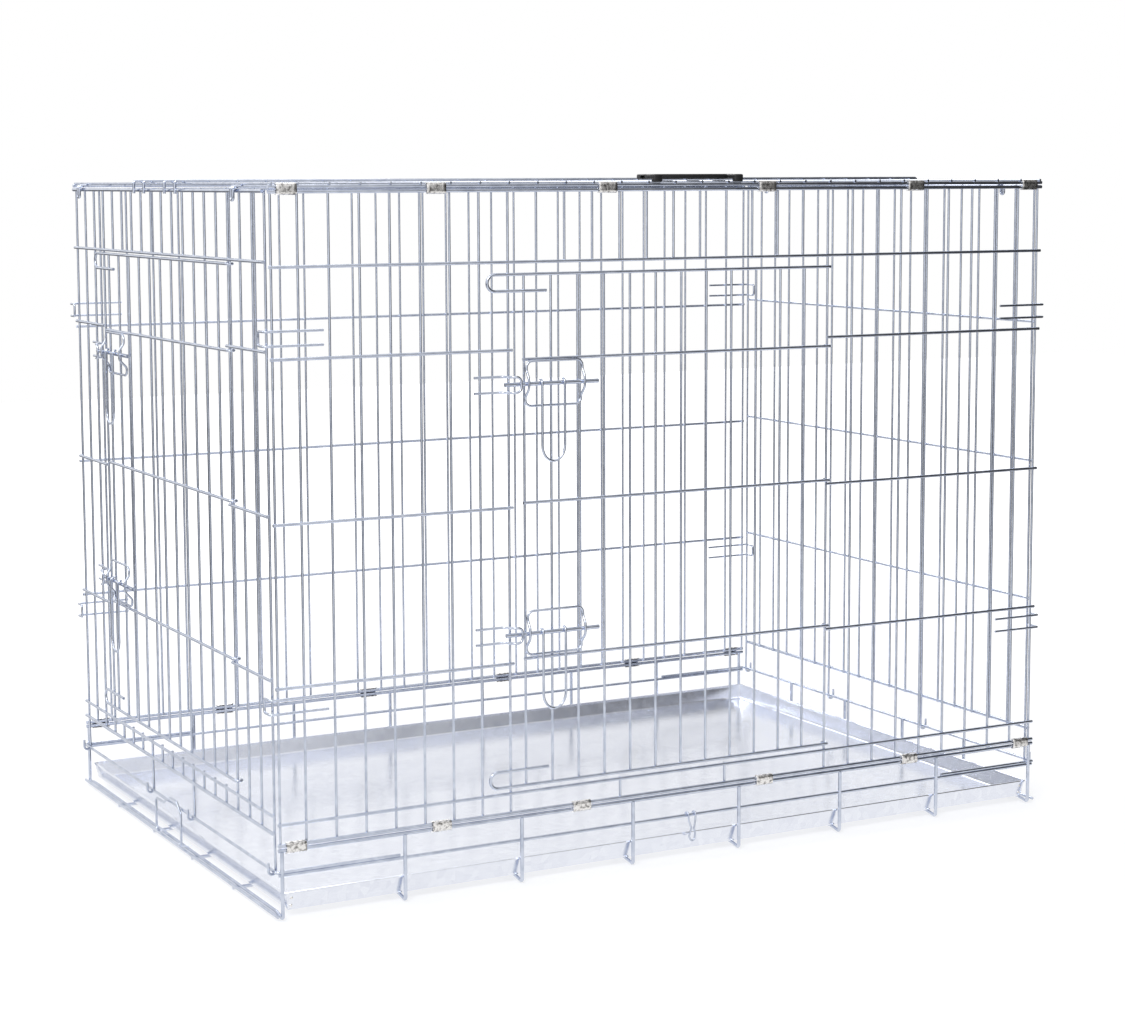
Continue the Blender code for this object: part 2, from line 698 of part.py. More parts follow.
def carry_handle(top, finish):
    """Plastic grip that lies on the top wires and swings up about the top panel's front rail."""
    rise = LID_WIRE_HEIGHT - LID_HEIGHT + FRAME + HAIR
    half = HANDLE_LENGTH / 2
    near = HANDLE_REACH
    wall = RAIL + HAIR + CLIP_WALL
    # The lugs stop short of the rail's middle, so that they pass the rail below as the grip lifts
    floor = RAIL * LUG_SHARE
    grip = box((-half, near, rise), (half, near + HANDLE_WIDTH, rise + HANDLE_THICK))
    for side in (-1, 1):
        middle = side * (half - LUG_LENGTH / 2)
        low = middle - LUG_LENGTH / 2
        high = middle + LUG_LENGTH / 2
        arm = box((low, -wall, rise), (high, near + HANDLE_WIDTH / 2, rise + HANDLE_THICK * LUG_SHARE))
        lug = box((low, -wall, floor), (high, wall, rise + HANDLE_THICK / 2))
        slot = rod((middle, 0, 0), "X", RAIL + HAIR, 2 * LUG_LENGTH)
        fuse(grip, arm, combine(lug, slot, "DIFFERENCE"))
    return place(grip, "carry_handle", finish, top, at=(HANDLE_CENTRE, 0, LID_HEIGHT - SIDE_TOP))


def build():
    """Make every piece and hang it on the piece that carries it."""
    clear_scene()
    zinc = material("zinc_plated_wire", (0.62, 0.65, 0.69), 0.32, 1.0)
    sheet = material("galvanised_sheet", (0.66, 0.69, 0.74), 0.38, 1.0)
    pressed = material("pressed_clip_steel", (0.70, 0.69, 0.66), 0.30, 1.0)
    plastic = material("black_plastic", (0.012, 0.012, 0.013), 0.45, 0.0)
    base = base_frame(zinc)
    tray_body = tray(base, sheet)
    tray_latch(tray_body, zinc)
    tray_clip(base, zinc)
    front = front_panel(zinc)
    back = back_panel(zinc)
    left = left_panel(zinc)
    right = right_panel(zinc)
    for panel in (front, back, left, right):
        panel.parent = base
    bars = (SIDE_HEAD, *SIDE_BARS, SIDE_FOOT_BAR)
    levels = [z + step - FLANGE_HEIGHT for z, step in zip(bars, FRONT_DOOR_STEPS)]
    leaf = door("front_door", front, FRONT_OPENING, SIDE_PLACES, levels, FRONT_DOOR_WIRES, zinc)
    for z, step, tag in zip(levels[1::2], BOLT_STEPS, ("upper", "lower")):
        latch("front_" + tag, front, leaf, FRONT_OPENING, SIDE_PLACES, z + step, zinc)
    bars = (END_HEAD, *END_BARS, END_FOOT_BAR)
    levels = [z + step - END_MID_HEIGHT for z, step in zip(bars, LEFT_DOOR_STEPS)]
    leaf = door("left_door", left, LEFT_OPENING, END_PLACES, levels, LEFT_DOOR_WIRES, zinc)
    for z, step, tag in zip(levels[1::2], BOLT_STEPS, ("upper", "lower")):
        latch("left_" + tag, left, leaf, LEFT_OPENING, END_PLACES, z + step, zinc)
    brackets(front, "front", zinc)
    brackets(back, "back", zinc)
    top = lid(front, zinc)
    carry_handle(top, plastic)
    foot = SIDE_FOOT - FLANGE_HEIGHT
    rise = LID_HEIGHT - SIDE_TOP
    rows = (
        ("front", front, FRONT_CLIP_WIRES, foot),
        ("back", back, BACK_CLIP_WIRES, foot),
        ("top", top, TOP_CLIP_WIRES, rise),
    )
    for tag, panel, indices, z in rows:
        for number, index in enumerate(indices, 1):
            clip(f"hinge_clip_{tag}_{number}", panel, (between(SIDE_PLACES, index), 0, z), pressed)


build()
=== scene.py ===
# %% [markdown]
# # A folding wire dog crate
# The crate is bright wire, 3 to 4 mm thick, welded where it crosses. Its panels hinge on a wire base,
# and a sheet tray slides in under them. A solid model of it is loaded first. Each solid is then
# replaced by a finished piece in its place.

# %% Load the frame
import math

import bmesh
import bpy
from mathutils import Matrix, Vector


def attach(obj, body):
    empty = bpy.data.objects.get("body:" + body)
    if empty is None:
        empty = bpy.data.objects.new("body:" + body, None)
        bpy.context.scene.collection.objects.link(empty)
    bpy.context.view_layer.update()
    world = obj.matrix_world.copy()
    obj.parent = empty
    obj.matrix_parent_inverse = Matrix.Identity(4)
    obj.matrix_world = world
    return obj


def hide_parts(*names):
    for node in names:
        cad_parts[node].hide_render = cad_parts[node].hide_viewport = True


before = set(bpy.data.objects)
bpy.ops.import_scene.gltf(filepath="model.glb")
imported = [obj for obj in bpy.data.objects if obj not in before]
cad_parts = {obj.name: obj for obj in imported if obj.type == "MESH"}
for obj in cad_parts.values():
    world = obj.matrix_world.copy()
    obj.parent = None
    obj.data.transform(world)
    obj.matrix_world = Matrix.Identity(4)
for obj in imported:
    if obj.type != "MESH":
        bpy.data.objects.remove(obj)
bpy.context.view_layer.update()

# %% [markdown]
# ## Sizes
# Such a crate is welded from straight wires in a jig, so they follow a few rules: 30 uprights on a
# long side and 19 on an end, with a narrower bay at each corner of the long sides. The level wires,
# called bars here, lie outside the uprights. All numbers are metres, and the pieces are counted from
# these, so that a change here moves them all.

# %% Wires and the gaps between them
LENGTH, WIDTH, HEIGHT = 1.070, 0.710, 0.820
WIRE, BAR = 0.0015, 0.0019  # radius of a thin and of a thick wire
WELD = 0.0004  # how far a weld presses two wires into each other
HAIR = 0.0003  # the least gap between parts that move
SIDE_GAP = 0.0006  # the gap beside an end panel
TIP = 0.0015  # how far a wire runs past its last weld
FRAME, RAIL = WIRE + WELD + HAIR, BAR + WELD + HAIR
LAYER = WIRE + BAR + HAIR
TOUCH = LAYER - 0.0006  # depth of the uprights behind the bars
RING = BAR + WIRE + 2 * HAIR  # radius of a wire curled round another
print("wires %.1f and %.1f mm thick, rails %.1f mm" % (2e3 * WIRE, 2e3 * BAR, 2e3 * (RAIL - HAIR)))

# %% Heights and widths of the panels
SIDE_Y, END_X = WIDTH / 2 - RAIL, LENGTH / 2 - RAIL
SIDE_HALF = END_X - 0.006
END_HALF = SIDE_Y - LAYER - RING - BAR - SIDE_GAP - FRAME
LID_WIRE = HEIGHT - FRAME
LID = LID_WIRE - LAYER
SIDE_TOP, END_TOP = LID - 2 * RAIL - HAIR, LID - BAR - HAIR - RAIL
FLANGE, MID, END_FOOT = 0.080, 0.052, 0.098
SIDE_FOOT, END_MID = FLANGE + 2 * RAIL + HAIR, MID + 2 * BAR - WELD
SIDE_HEAD, SIDE_UNDER = HEIGHT - 0.093, FLANGE + 0.029
SIDE_BARS = [HEIGHT * share for share in (0.764, 0.5425, 0.3201)]
END_HEAD, END_UNDER = HEIGHT - 0.0875, END_FOOT + 0.020
END_BARS = [HEIGHT * share for share in (0.774, 0.553, 0.3305)]


def spread(half, count, share):
    """Places of upright wires. The first and the last bay are a share of the others."""
    pitch = 2 * half / (count - 3 + 2 * share)
    return [-half] + [-half + pitch * (share + step) for step in range(count - 2)] + [half]


SIDE = spread(SIDE_HALF, 30, 0.85)
END = spread(END_HALF, 19, 1.0)
print("pitch %.1f and %.1f mm" % ((SIDE[2] - SIDE[1]) * 1e3, (END[2] - END[1]) * 1e3))

# %% [markdown]
# ## Colours and a helper for nodes
# Colours are written as sRGB hex, the way a colour chart gives them, and turned into the linear
# values that shaders need. One helper adds any node, sets its values and links its inputs. A node
# that is given as an input links its first output. An input that shares its name with others is
# given by its number, as in _6 and _7, the two colours of a Mix node.


# %% Colour and node helpers
def linear(code):
    """An sRGB hex colour as linear red, green, blue and alpha."""
    parts = [int(code[start:start + 2], 16) / 255 for start in (1, 3, 5)]
    return (*[c / 12.92 if c <= 0.04045 else ((c + 0.055) / 1.055) ** 2.4 for c in parts], 1.0)


def add(tree, kind, settings=None, **inputs):
    """Add a node. Settings are attributes. An input is a value, or a node or socket to link from."""
    node = tree.nodes.new(kind)
    for name, value in (settings or {}).items():
        setattr(node, name, value)
    for name, value in inputs.items():
        numbered = name[0] == "_" and name[1:].isdigit()
        socket = node.inputs[int(name[1:]) if numbered else name.replace("_", " ")]
        if isinstance(value, bpy.types.Node):
            value = value.outputs[0]
        if isinstance(value, bpy.types.NodeSocket):
            tree.links.new(value, socket)
        else:
            socket.default_value = value
    return node


def new_finish(name):
    """An empty material, its node tree and the Object coordinates that its patterns read."""
    made = bpy.data.materials.new(name)
    made.use_nodes = True
    made.node_tree.nodes.clear()
    return made, made.node_tree, add(made.node_tree, "ShaderNodeTexCoord").outputs["Object"]


def coat(tree, amount, colours, relief, **inputs):
    """End a material. Its colour goes from the first hex value to the second with the amount."""
    low, high = (linear(code) for code in colours)
    colour = add(tree, "ShaderNodeMix", {"data_type": "RGBA"}, Factor=amount, _6=low, _7=high)
    shader = add(tree, "ShaderNodeBsdfPrincipled", Base_Color=colour.outputs[2], Normal=relief, **inputs)
    add(tree, "ShaderNodeOutputMaterial", Surface=shader)
    print("finish between", *colours, "with", len(tree.nodes), "nodes")


# %% [markdown]
# ## Bright zinc-plated wire
# Cold-drawn steel wire, welded and then zinc plated. The plate is a bluish silver, smooth enough for
# a crisp highlight along each wire, and a little cloudy where the plating bath left it uneven. The
# clouds are about 12 mm across. Drawing marks, really 0.1 mm, are drawn 3 mm wide so that they show.

# %% Material: zinc-plated wire
zinc, tree, place = new_finish("zinc_plated_wire")
clouds = add(tree, "ShaderNodeTexNoise", Vector=place, Scale=1 / 0.012, Detail=2.0)
marks = add(tree, "ShaderNodeTexNoise", Vector=place, Scale=1 / 0.003, Detail=1.0)
amount = add(tree, "ShaderNodeMapRange", Value=clouds, From_Min=0.3, From_Max=0.7)
rough = add(tree, "ShaderNodeMapRange", Value=clouds, To_Min=0.10, To_Max=0.18)
bump = add(tree, "ShaderNodeBump", Height=marks, Strength=0.05, Distance=0.0001)
coat(tree, amount, ("#BBC2D2", "#D2D8E6"), bump, Metallic=1.0, Roughness=rough)

# %% [markdown]
# ## Galvanised sheet
# The tray is thin steel sheet that was dipped in zinc and rolled. Its spangle, the crystals of zinc,
# are about 9 mm across and differ a little in tone and gloss. Rolling left faint streaks 2 mm wide.
# A thin floor also buckles a little, in dents about 110 mm across, which blur what it mirrors.

# %% Material: galvanised sheet
sheet_metal, tree, place = new_finish("galvanised_sheet")
spangle = add(tree, "ShaderNodeTexVoronoi", Vector=place, Scale=1 / 0.009)
stretch = add(tree, "ShaderNodeMapping", Vector=place, Scale=(3.0, 1 / 0.002, 1 / 0.002))
streaks = add(tree, "ShaderNodeTexNoise", Vector=stretch, Scale=1.0, Detail=2.0)
tone = add(tree, "ShaderNodeRGBToBW", Color=spangle.outputs["Color"])
blend = add(tree, "ShaderNodeMath", {"operation": "MULTIPLY_ADD"}, _0=streaks, _1=0.35, _2=tone)
amount = add(tree, "ShaderNodeMapRange", Value=blend, From_Min=0.2, From_Max=1.1)
rough = add(tree, "ShaderNodeMapRange", Value=blend, To_Min=0.18, To_Max=0.21)
waves = add(tree, "ShaderNodeTexNoise", Vector=place, Scale=1 / 0.11, Detail=0.0)
dents = add(tree, "ShaderNodeBump", Height=waves, Strength=1.0, Distance=0.0008)
bump = add(tree, "ShaderNodeBump", Height=streaks, Strength=0.05, Distance=0.0001, Normal=dents)
coat(tree, amount, ("#E4E7F1", "#EDF0F8"), bump, Metallic=1.0, Roughness=rough)

# %% [markdown]
# ## Pressed strip steel
# The hinge sleeves are pressed from bright strip. It is warmer than the plated wire and duller, and
# the press left it uneven, in patches about 4 mm across that catch the light one by one.

# %% Material: pressed strip steel
pressed, tree, place = new_finish("pressed_strip_steel")
haze = add(tree, "ShaderNodeTexNoise", Vector=place, Scale=1 / 0.004, Detail=2.0)
amount = add(tree, "ShaderNodeMapRange", Value=haze, From_Min=0.34, From_Max=0.54)
rough = add(tree, "ShaderNodeMapRange", Value=haze, To_Min=0.22, To_Max=0.32)
bump = add(tree, "ShaderNodeBump", Height=haze, Strength=0.4, Distance=0.0004)
coat(tree, amount, ("#8E8C8A", "#F2F0EE"), bump, Metallic=1.0, Roughness=rough)

# %% [markdown]
# ## Moulded polypropylene
# The carry handle is moulded from black polypropylene. Its mould was etched with a fine grain, 0.8 mm
# here, which breaks up the highlight and gives the soft sheen of a plastic grip.

# %% Material: moulded black polypropylene
plastic, tree, place = new_finish("moulded_polypropylene")
grain = add(tree, "ShaderNodeTexNoise", Vector=place, Scale=1 / 0.0008, Detail=2.0)
amount = add(tree, "ShaderNodeMapRange", Value=grain, From_Min=0.3, From_Max=0.7)
bump = add(tree, "ShaderNodeBump", Height=grain, Strength=0.35, Distance=0.0002)
coat(tree, amount, ("#121214", "#1E1E20"), bump, Roughness=0.42, IOR=1.49)

# %% [markdown]
# ## Wires that bend
# Every bent wire is drawn as a line of straight runs, as a wire bender would sketch it. A node tree
# rounds its corners, sweeps a circle along it and closes its ends. The line carries its own radius,
# so that thick rails and thin wires can share one tree.


# %% Node tree: a swept wire
def group(name, sockets):
    """An empty node tree with the named inputs and one geometry output."""
    made = bpy.data.node_groups.new(name, "GeometryNodeTree")
    for label, kind, value in sockets:
        socket = made.interface.new_socket(label, in_out="INPUT", socket_type="NodeSocket" + kind)
        if value is not None:
            socket.default_value = value
    made.interface.new_socket("Geometry", in_out="OUTPUT", socket_type="NodeSocketGeometry")
    return made, add(made, "NodeGroupInput").outputs


def close(made, geometry, metal):
    """End a tree with real geometry in one material."""
    real = add(made, "GeometryNodeRealizeInstances", Geometry=geometry)
    dressed = add(made, "GeometryNodeSetMaterial", Geometry=real, Material=metal)
    add(made, "NodeGroupOutput", Geometry=dressed)
    print("tree:", made.name, "nodes:", len(made.nodes))


swept_wire, given = group("swept_wire", [
    ("Line", "Geometry", None), ("Bend radius", "Float", 0.003), ("Bend steps", "Int", 5),
    ("Sides", "Int", 10), ("Metal", "Material", None)])
line = add(swept_wire, "GeometryNodeMeshToCurve", Mesh=given["Line"])
size = add(swept_wire, "GeometryNodeInputNamedAttribute", {"data_type": "FLOAT"}, Name="wire_radius")
sized = add(swept_wire, "GeometryNodeSetCurveRadius", Curve=line, Radius=size.outputs["Attribute"])
bent = add(swept_wire, "GeometryNodeFilletCurve", {"mode": "POLY"}, Curve=sized,
           Radius=given["Bend radius"], Count=given["Bend steps"], Limit_Radius=True)
ring = add(swept_wire, "GeometryNodeCurvePrimitiveCircle", {"mode": "RADIUS"},
           Resolution=given["Sides"], Radius=1.0)
thickness = add(swept_wire, "GeometryNodeInputRadius")
tube = add(swept_wire, "GeometryNodeCurveToMesh", Curve=bent, Profile_Curve=ring, Scale=thickness,
           Fill_Caps=True)
close(swept_wire, tube, given["Metal"])

# %% [markdown]
# ## Wires that repeat
# A row of uprights is one wire, copied along a line. The tree takes where the row starts, the step
# from one wire to the next, and the wire itself as an arrow.

# %% Node tree: a row of equal wires
wire_row, given = group("wire_row", [
    ("Geometry", "Geometry", None), ("Count", "Int", 2), ("Start", "Vector", (0, 0, 0)),
    ("Step", "Vector", (0.037, 0, 0)), ("Wire", "Vector", (0, 0, 0.7)), ("Radius", "Float", WIRE),
    ("Sides", "Int", 10), ("Metal", "Material", None)])
row = add(wire_row, "GeometryNodeMeshLine", Count=given["Count"], Start_Location=given["Start"],
          Offset=given["Step"])
arrow = add(wire_row, "GeometryNodeCurvePrimitiveLine", End=given["Wire"])
ring = add(wire_row, "GeometryNodeCurvePrimitiveCircle", {"mode": "RADIUS"},
           Resolution=given["Sides"], Radius=given["Radius"])
stick = add(wire_row, "GeometryNodeCurveToMesh", Curve=arrow, Profile_Curve=ring, Fill_Caps=True)
copies = add(wire_row, "GeometryNodeInstanceOnPoints", Points=row, Instance=stick)
close(wire_row, copies, given["Metal"])

# %% [markdown]
# ## Resistance welds
# Where wires cross, the welder pressed them together and left a small nugget of melted steel. Each
# is a low ball, squashed against the wires. There are hundreds, so it has only a few dozen faces.

# %% Node tree: weld nuggets
weld_spots, given = group("weld_spots", [
    ("Crossings", "Geometry", None), ("Size", "Vector", (0.0021, 0.0012, 0.0021)),
    ("Metal", "Material", None)])
ball = add(weld_spots, "GeometryNodeMeshUVSphere", Segments=8, Rings=4, Radius=1.0)
spots = add(weld_spots, "GeometryNodeInstanceOnPoints", Points=given["Crossings"],
            Instance=ball, Scale=given["Size"])
close(weld_spots, spots, given["Metal"])

# %% [markdown]
# ## From a tree to a plain mesh
# A tree works on an object through a modifier. Here a passing object carries it, and only the result
# is kept, as a plain mesh. Wires are smooth round their length and hard at cut ends.


# %% Objects and the meshes that their modifiers make
def in_scene(name, data):
    """A new object in the scene."""
    made = bpy.data.objects.new(name, data)
    bpy.context.scene.collection.objects.link(made)
    return made


def keep(holder, angle):
    """The mesh that an object's modifiers make, hard at edges sharper than an angle in degrees."""
    bpy.context.view_layer.update()
    ready = bpy.context.evaluated_depsgraph_get()
    mesh = bpy.data.meshes.new_from_object(holder.evaluated_get(ready))
    holder.modifiers.clear()
    bpy.data.objects.remove(holder, do_unlink=True)
    mesh.shade_smooth()
    mesh.set_sharp_from_angle(angle=math.radians(angle))
    return mesh


def run(tree, source, **values):
    """The mesh that a tree makes of a source mesh. Its inputs are set by their identifiers."""
    holder = in_scene("holder", source)
    step = holder.modifiers.new("tree", "NODES")
    step.node_group = tree
    names = {item.name: item.identifier for item in tree.interface.items_tree if item.in_out == "INPUT"}
    for name, value in values.items():
        step[names[name.replace("_", " ")]] = value
    mesh = keep(holder, 50)
    mesh.materials.clear()
    mesh.materials.append(values["Metal"])
    return mesh


# %% Bent wires, rows and welds
def swept(runs, bend=0.003, sides=10, metal=zinc):
    """Bent wires. Each run is its corner points and its radius."""
    source = bpy.data.meshes.new("line")
    points = [point for corners, radius in runs for point in corners]
    edges, start = [], 0
    for corners, radius in runs:
        edges += [(start + step, start + step + 1) for step in range(len(corners) - 1)]
        start += len(corners)
    source.from_pydata(points, edges, [])
    layer = source.attributes.new("wire_radius", "FLOAT", "POINT")
    layer.data.foreach_set("value", [radius for corners, radius in runs for point in corners])
    return run(swept_wire, source, Bend_radius=bend, Sides=sides, Metal=metal)


def row_of(count, start, step, wire):
    """A row of equal straight wires."""
    source = bpy.data.meshes.new("row")
    return run(wire_row, source, Count=count, Start=start, Step=step, Wire=wire, Radius=WIRE, Metal=zinc)


def welds(points, size=(0.0021, 0.0013, 0.0021), metal=zinc):
    """Weld nuggets, or rivet heads, at the given points."""
    source = bpy.data.meshes.new("crossings")
    source.from_pydata(points, [], [])
    return run(weld_spots, source, Size=size, Metal=metal)


# %% [markdown]
# ## From meshes to a finished piece
# A piece is made in the frame of its own panel: across, inward, up. It is then turned into place in
# its mesh, so that the object itself stays at the origin. It rides on its body and stands for its
# solids.


# %% Place a piece
def frame_of(x, y, z, degrees=0):
    """The frame of a panel: where its origin is and how far it is turned about the vertical."""
    return Matrix.Translation((x, y, z)) @ Matrix.Rotation(math.radians(degrees), 4, "Z")


def mesh_of(work, name):
    """The plain mesh of a bmesh, which ends here."""
    mesh = bpy.data.meshes.new(name)
    work.to_mesh(mesh)
    work.free()
    return mesh


def piece(name, meshes, body, nodes, where=None):
    """Join meshes into one object that rides on a body and stands for its solids."""
    work = bmesh.new()
    metals = []
    for mesh in meshes:
        before = len(work.faces)
        work.from_mesh(mesh)
        work.faces.ensure_lookup_table()
        metal = mesh.materials[0]
        if metal not in metals:
            metals.append(metal)
        for face in work.faces[before:]:
            face.material_index = metals.index(metal)
    if where is not None:
        work.transform(where)
    mesh = mesh_of(work, name)
    for metal in metals:
        mesh.materials.append(metal)
    made = in_scene(name, mesh)
    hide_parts(*nodes)
    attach(made, body)
    print(name, "triangles:", sum(len(face.vertices) - 2 for face in mesh.polygons))


# %% [markdown]
# ## Lines that panels share
# Curls, level wires and uprights come back in every panel, so each has one short function.


# %% Arcs, level wires, uprights and crossings
def arc(centre, radius, start, end, steps, plane="YZ"):
    """Points of an arc in degrees, in a plane of two axes."""
    first, second = ("XYZ".index(axis) for axis in plane)
    points = []
    for step in range(steps + 1):
        angle = math.radians(start + (end - start) * step / steps)
        point = list(centre)
        point[first] += radius * math.cos(angle)
        point[second] += radius * math.sin(angle)
        points.append(tuple(point))
    return points


def level(low, high, z, radius=BAR, depth=0.0):
    """A straight wire across a panel."""
    return [(low, depth, z), (high, depth, z)], radius


def uprights(places, first, last, low, high):
    """Uprights from one wire number to another, all between the same heights."""
    step = (places[last] - places[first]) / max(1, last - first)
    return row_of(last - first + 1, (places[first], TOUCH, low), (step, 0, 0), (0, 0, high - low))


def crossings(places, indices, heights):
    """Every place where uprights and bars cross."""
    return [(places[index], TOUCH / 2, z) for index in indices for z in heights]


# %% [markdown]
# ## Front panel
# The long side with the wide door. Counted from 0, uprights 9 to 19 stop at the bar over the door,
# and two short ones stand under it. Three bars on each side of the opening end at its edge wires.
# Rows, bars and welds come from the trees above, because all wires follow the same few rules.

# %% Front panel
front = frame_of(0, -SIDE_Y, FLANGE)
foot, top = SIDE_FOOT - FLANGE, SIDE_TOP - FLANGE
over, under = SIDE_HEAD - FLANGE, SIDE_UNDER - FLANGE
between = [z - FLANGE for z in SIDE_BARS]
edge = SIDE_HALF + FRAME + TIP
rows = [uprights(SIDE, i, j, foot - TIP, top + TIP) for i, j in ((0, 0), (1, 8), (20, 28), (29, 29))]
rows += [uprights(SIDE, 9, 19, over - BAR, top + TIP)]
rows += [uprights(SIDE, i, i, foot - TIP, under + BAR) for i in (12, 16)]
bars = [level(-edge, edge, foot, RAIL - HAIR), level(-edge, edge, top, RAIL - HAIR)]
bars += [level(-edge, edge, over), level(-edge, edge, under)]
for z in between:
    bars += [level(-edge, SIDE[8] + FRAME + TIP, z), level(SIDE[20] - TIP, edge, z)]
full = [*range(9), *range(20, 30)]
spots = crossings(SIDE, range(30), (top, over))
spots += crossings(SIDE, [*full, 12, 16], (foot, under))
spots += crossings(SIDE, full, between)
piece("front_grille", rows + [swept(bars), welds(spots)], "front_panel", ["front_panel"], where=front)

# %% [markdown]
# ## Back panel
# The plain long side. It has the same uprights, all of full height, and three bars. It is made like
# the front and turned half round.

# %% Back panel
back = frame_of(0, SIDE_Y, FLANGE, 180)
rows = [uprights(SIDE, i, j, foot - TIP, top + TIP) for i, j in ((0, 0), (1, 28), (29, 29))]
bars = [level(-edge, edge, z, RAIL - HAIR) for z in (foot, top)]
bars += [level(-edge, edge, z) for z in between]
spots = crossings(SIDE, range(30), [foot, top, *between])
piece("back_grille", rows + [swept(bars), welds(spots)], "back_panel", ["back_panel"], where=back)

# %% [markdown]
# ## The two ends
# Four uprights of each end run past its bottom rail and curl round the base's end wire, which is the
# hinge. The left end has the small door opening between wires 3 and 15, with three short groups of
# uprights under it. A hook is an arc in the upright's own line, which the swept wire follows.


# %% Hooks and heights of the ends
def hooked(u, high):
    """An upright that ends in an open hook under the hinge wire."""
    bend, lean, tip = 0.0044, 0.030, 0.009
    curl = arc((u, LAYER - bend, 0), bend, 0, -180, 14)
    return [(u, TOUCH, high), (u, TOUCH, lean), *curl, (u, LAYER - 2 * bend, tip)], WIRE


end_foot, end_top = END_FOOT - END_MID, END_TOP - END_MID
end_over, end_under = END_HEAD - END_MID, END_UNDER - END_MID
end_between = [z - END_MID for z in END_BARS]
end_edge = END_HALF + FRAME
print("end panels %.0f mm high" % ((end_top - end_foot) * 1e3))

# %% Left end
left = frame_of(-END_X, 0, END_MID, -90)
rows = [uprights(END, i, j, end_foot - TIP, end_top + TIP) for i, j in ((1, 3), (15, 17))]
rows += [uprights(END, 4, 14, end_over - BAR, end_top + TIP)]
rows += [uprights(END, i, j, end_foot - TIP, end_under + BAR) for i, j in ((4, 6), (8, 10), (12, 14))]
bars = [level(-end_edge, end_edge, z, RAIL - HAIR) for z in (end_foot, end_top)]
bars += [level(-end_edge, end_edge, z) for z in (end_over, end_under)]
for z in end_between:
    bars += [level(-end_edge, END[3] + FRAME + TIP, z), level(END[15] - TIP, end_edge, z)]
hooks = [hooked(END[index], end_top + TIP) for index in (0, 18)]
hooks += [hooked(END[index], end_under + BAR) for index in (7, 11)]
spots = crossings(END, range(19), (end_foot, end_under, end_over, end_top))
spots += crossings(END, [0, 1, 2, 3, 15, 16, 17, 18], end_between)
meshes = rows + [swept(bars), swept(hooks, bend=0.002), welds(spots)]
piece("left_grille", meshes, "left_panel", ["left_panel"], where=left)

# %% Right end
right = frame_of(END_X, 0, END_MID, 90)
rows = [uprights(END, i, j, end_foot - TIP, end_top + TIP) for i, j in ((1, 5), (7, 11), (13, 17))]
bars = [level(-end_edge, end_edge, z, RAIL - HAIR) for z in (end_foot, end_top)]
bars += [level(-end_edge, end_edge, z) for z in end_between]
hooks = [hooked(END[index], end_top + TIP) for index in (0, 6, 12, 18)]
spots = crossings(END, range(19), [end_foot, end_top, *end_between])
meshes = rows + [swept(bars), swept(hooks, bend=0.002), welds(spots)]
piece("right_grille", meshes, "right_panel", ["right_panel"], where=right)

# %% [markdown]
# ## The top
# Thirty wires run from front to back over two rails. Four wires cross over them and end in hooks
# that drop outside the ends. Near each corner a narrow hairpin lies under them and drops there too.

# %% Top panel
lid = frame_of(0, -SIDE_Y, SIDE_TOP)
far = 2 * SIDE_Y
rise = LID - SIDE_TOP
over_rise = rise + TOUCH
above = over_rise + TOUCH
hook_drop, loop_tail, loop_half = 0.015, 0.060, 0.003
out = END_X + RAIL + SIDE_GAP + BAR
rows = []
for first, last in ((0, 0), (1, 28), (29, 29)):
    step = (SIDE[last] - SIDE[first]) / max(1, last - first)
    start = (SIDE[first], -RAIL, over_rise)
    rows.append(row_of(last - first + 1, start, (step, 0, 0), (0, far + 2 * RAIL, 0)))
bars = [level(-edge, edge, rise, RAIL - HAIR), level(-edge, edge, rise, RAIL - HAIR, far)]
lines = [SIDE_Y - END[index] for index in (7, 8, 10, 11)]
for y in lines:
    ends = [(-out, y, above - hook_drop), (-out, y, above), (out, y, above), (out, y, above - hook_drop)]
    bars.append((ends, BAR))
for y in (SIDE_Y - END[index] for index in (1, 16)):
    for side in (-1, 1):
        near = [(side * (out - loop_tail), y - loop_half, rise), (side * out, y - loop_half, rise),
                (side * out, y - loop_half, rise - hook_drop)]
        bars.append((near + [(x, 2 * y - b, z) for x, b, z in reversed(near)], BAR))
spots = [(u, y, rise + TOUCH / 2) for u in SIDE for y in (0, far)]
spots += [(u, y, over_rise + TOUCH / 2) for u in SIDE for y in lines]
meshes = rows + [swept(bars), welds(spots, (0.0021, 0.0021, 0.0013))]
piece("top_grille", meshes, "top_panel", ["top_panel"], where=lid)

# %% [markdown]
# ## The doors
# A door's level wires curl round the hinge wire of its opening. The top and bottom ones run past the
# opening's other edge and turn back on themselves, so that the door can't swing inwards. One function
# makes both doors, because they differ only in their wires' number and heights.

# %% Doors
EDGE_GAP, HINGE_GAP = 0.020, 0.034  # from the opening's edges to the door's first and last upright
STOP_REACH, STOP_TURN, STOP_RETURN = 0.028, 0.0095, 0.048  # of the ends that turn back


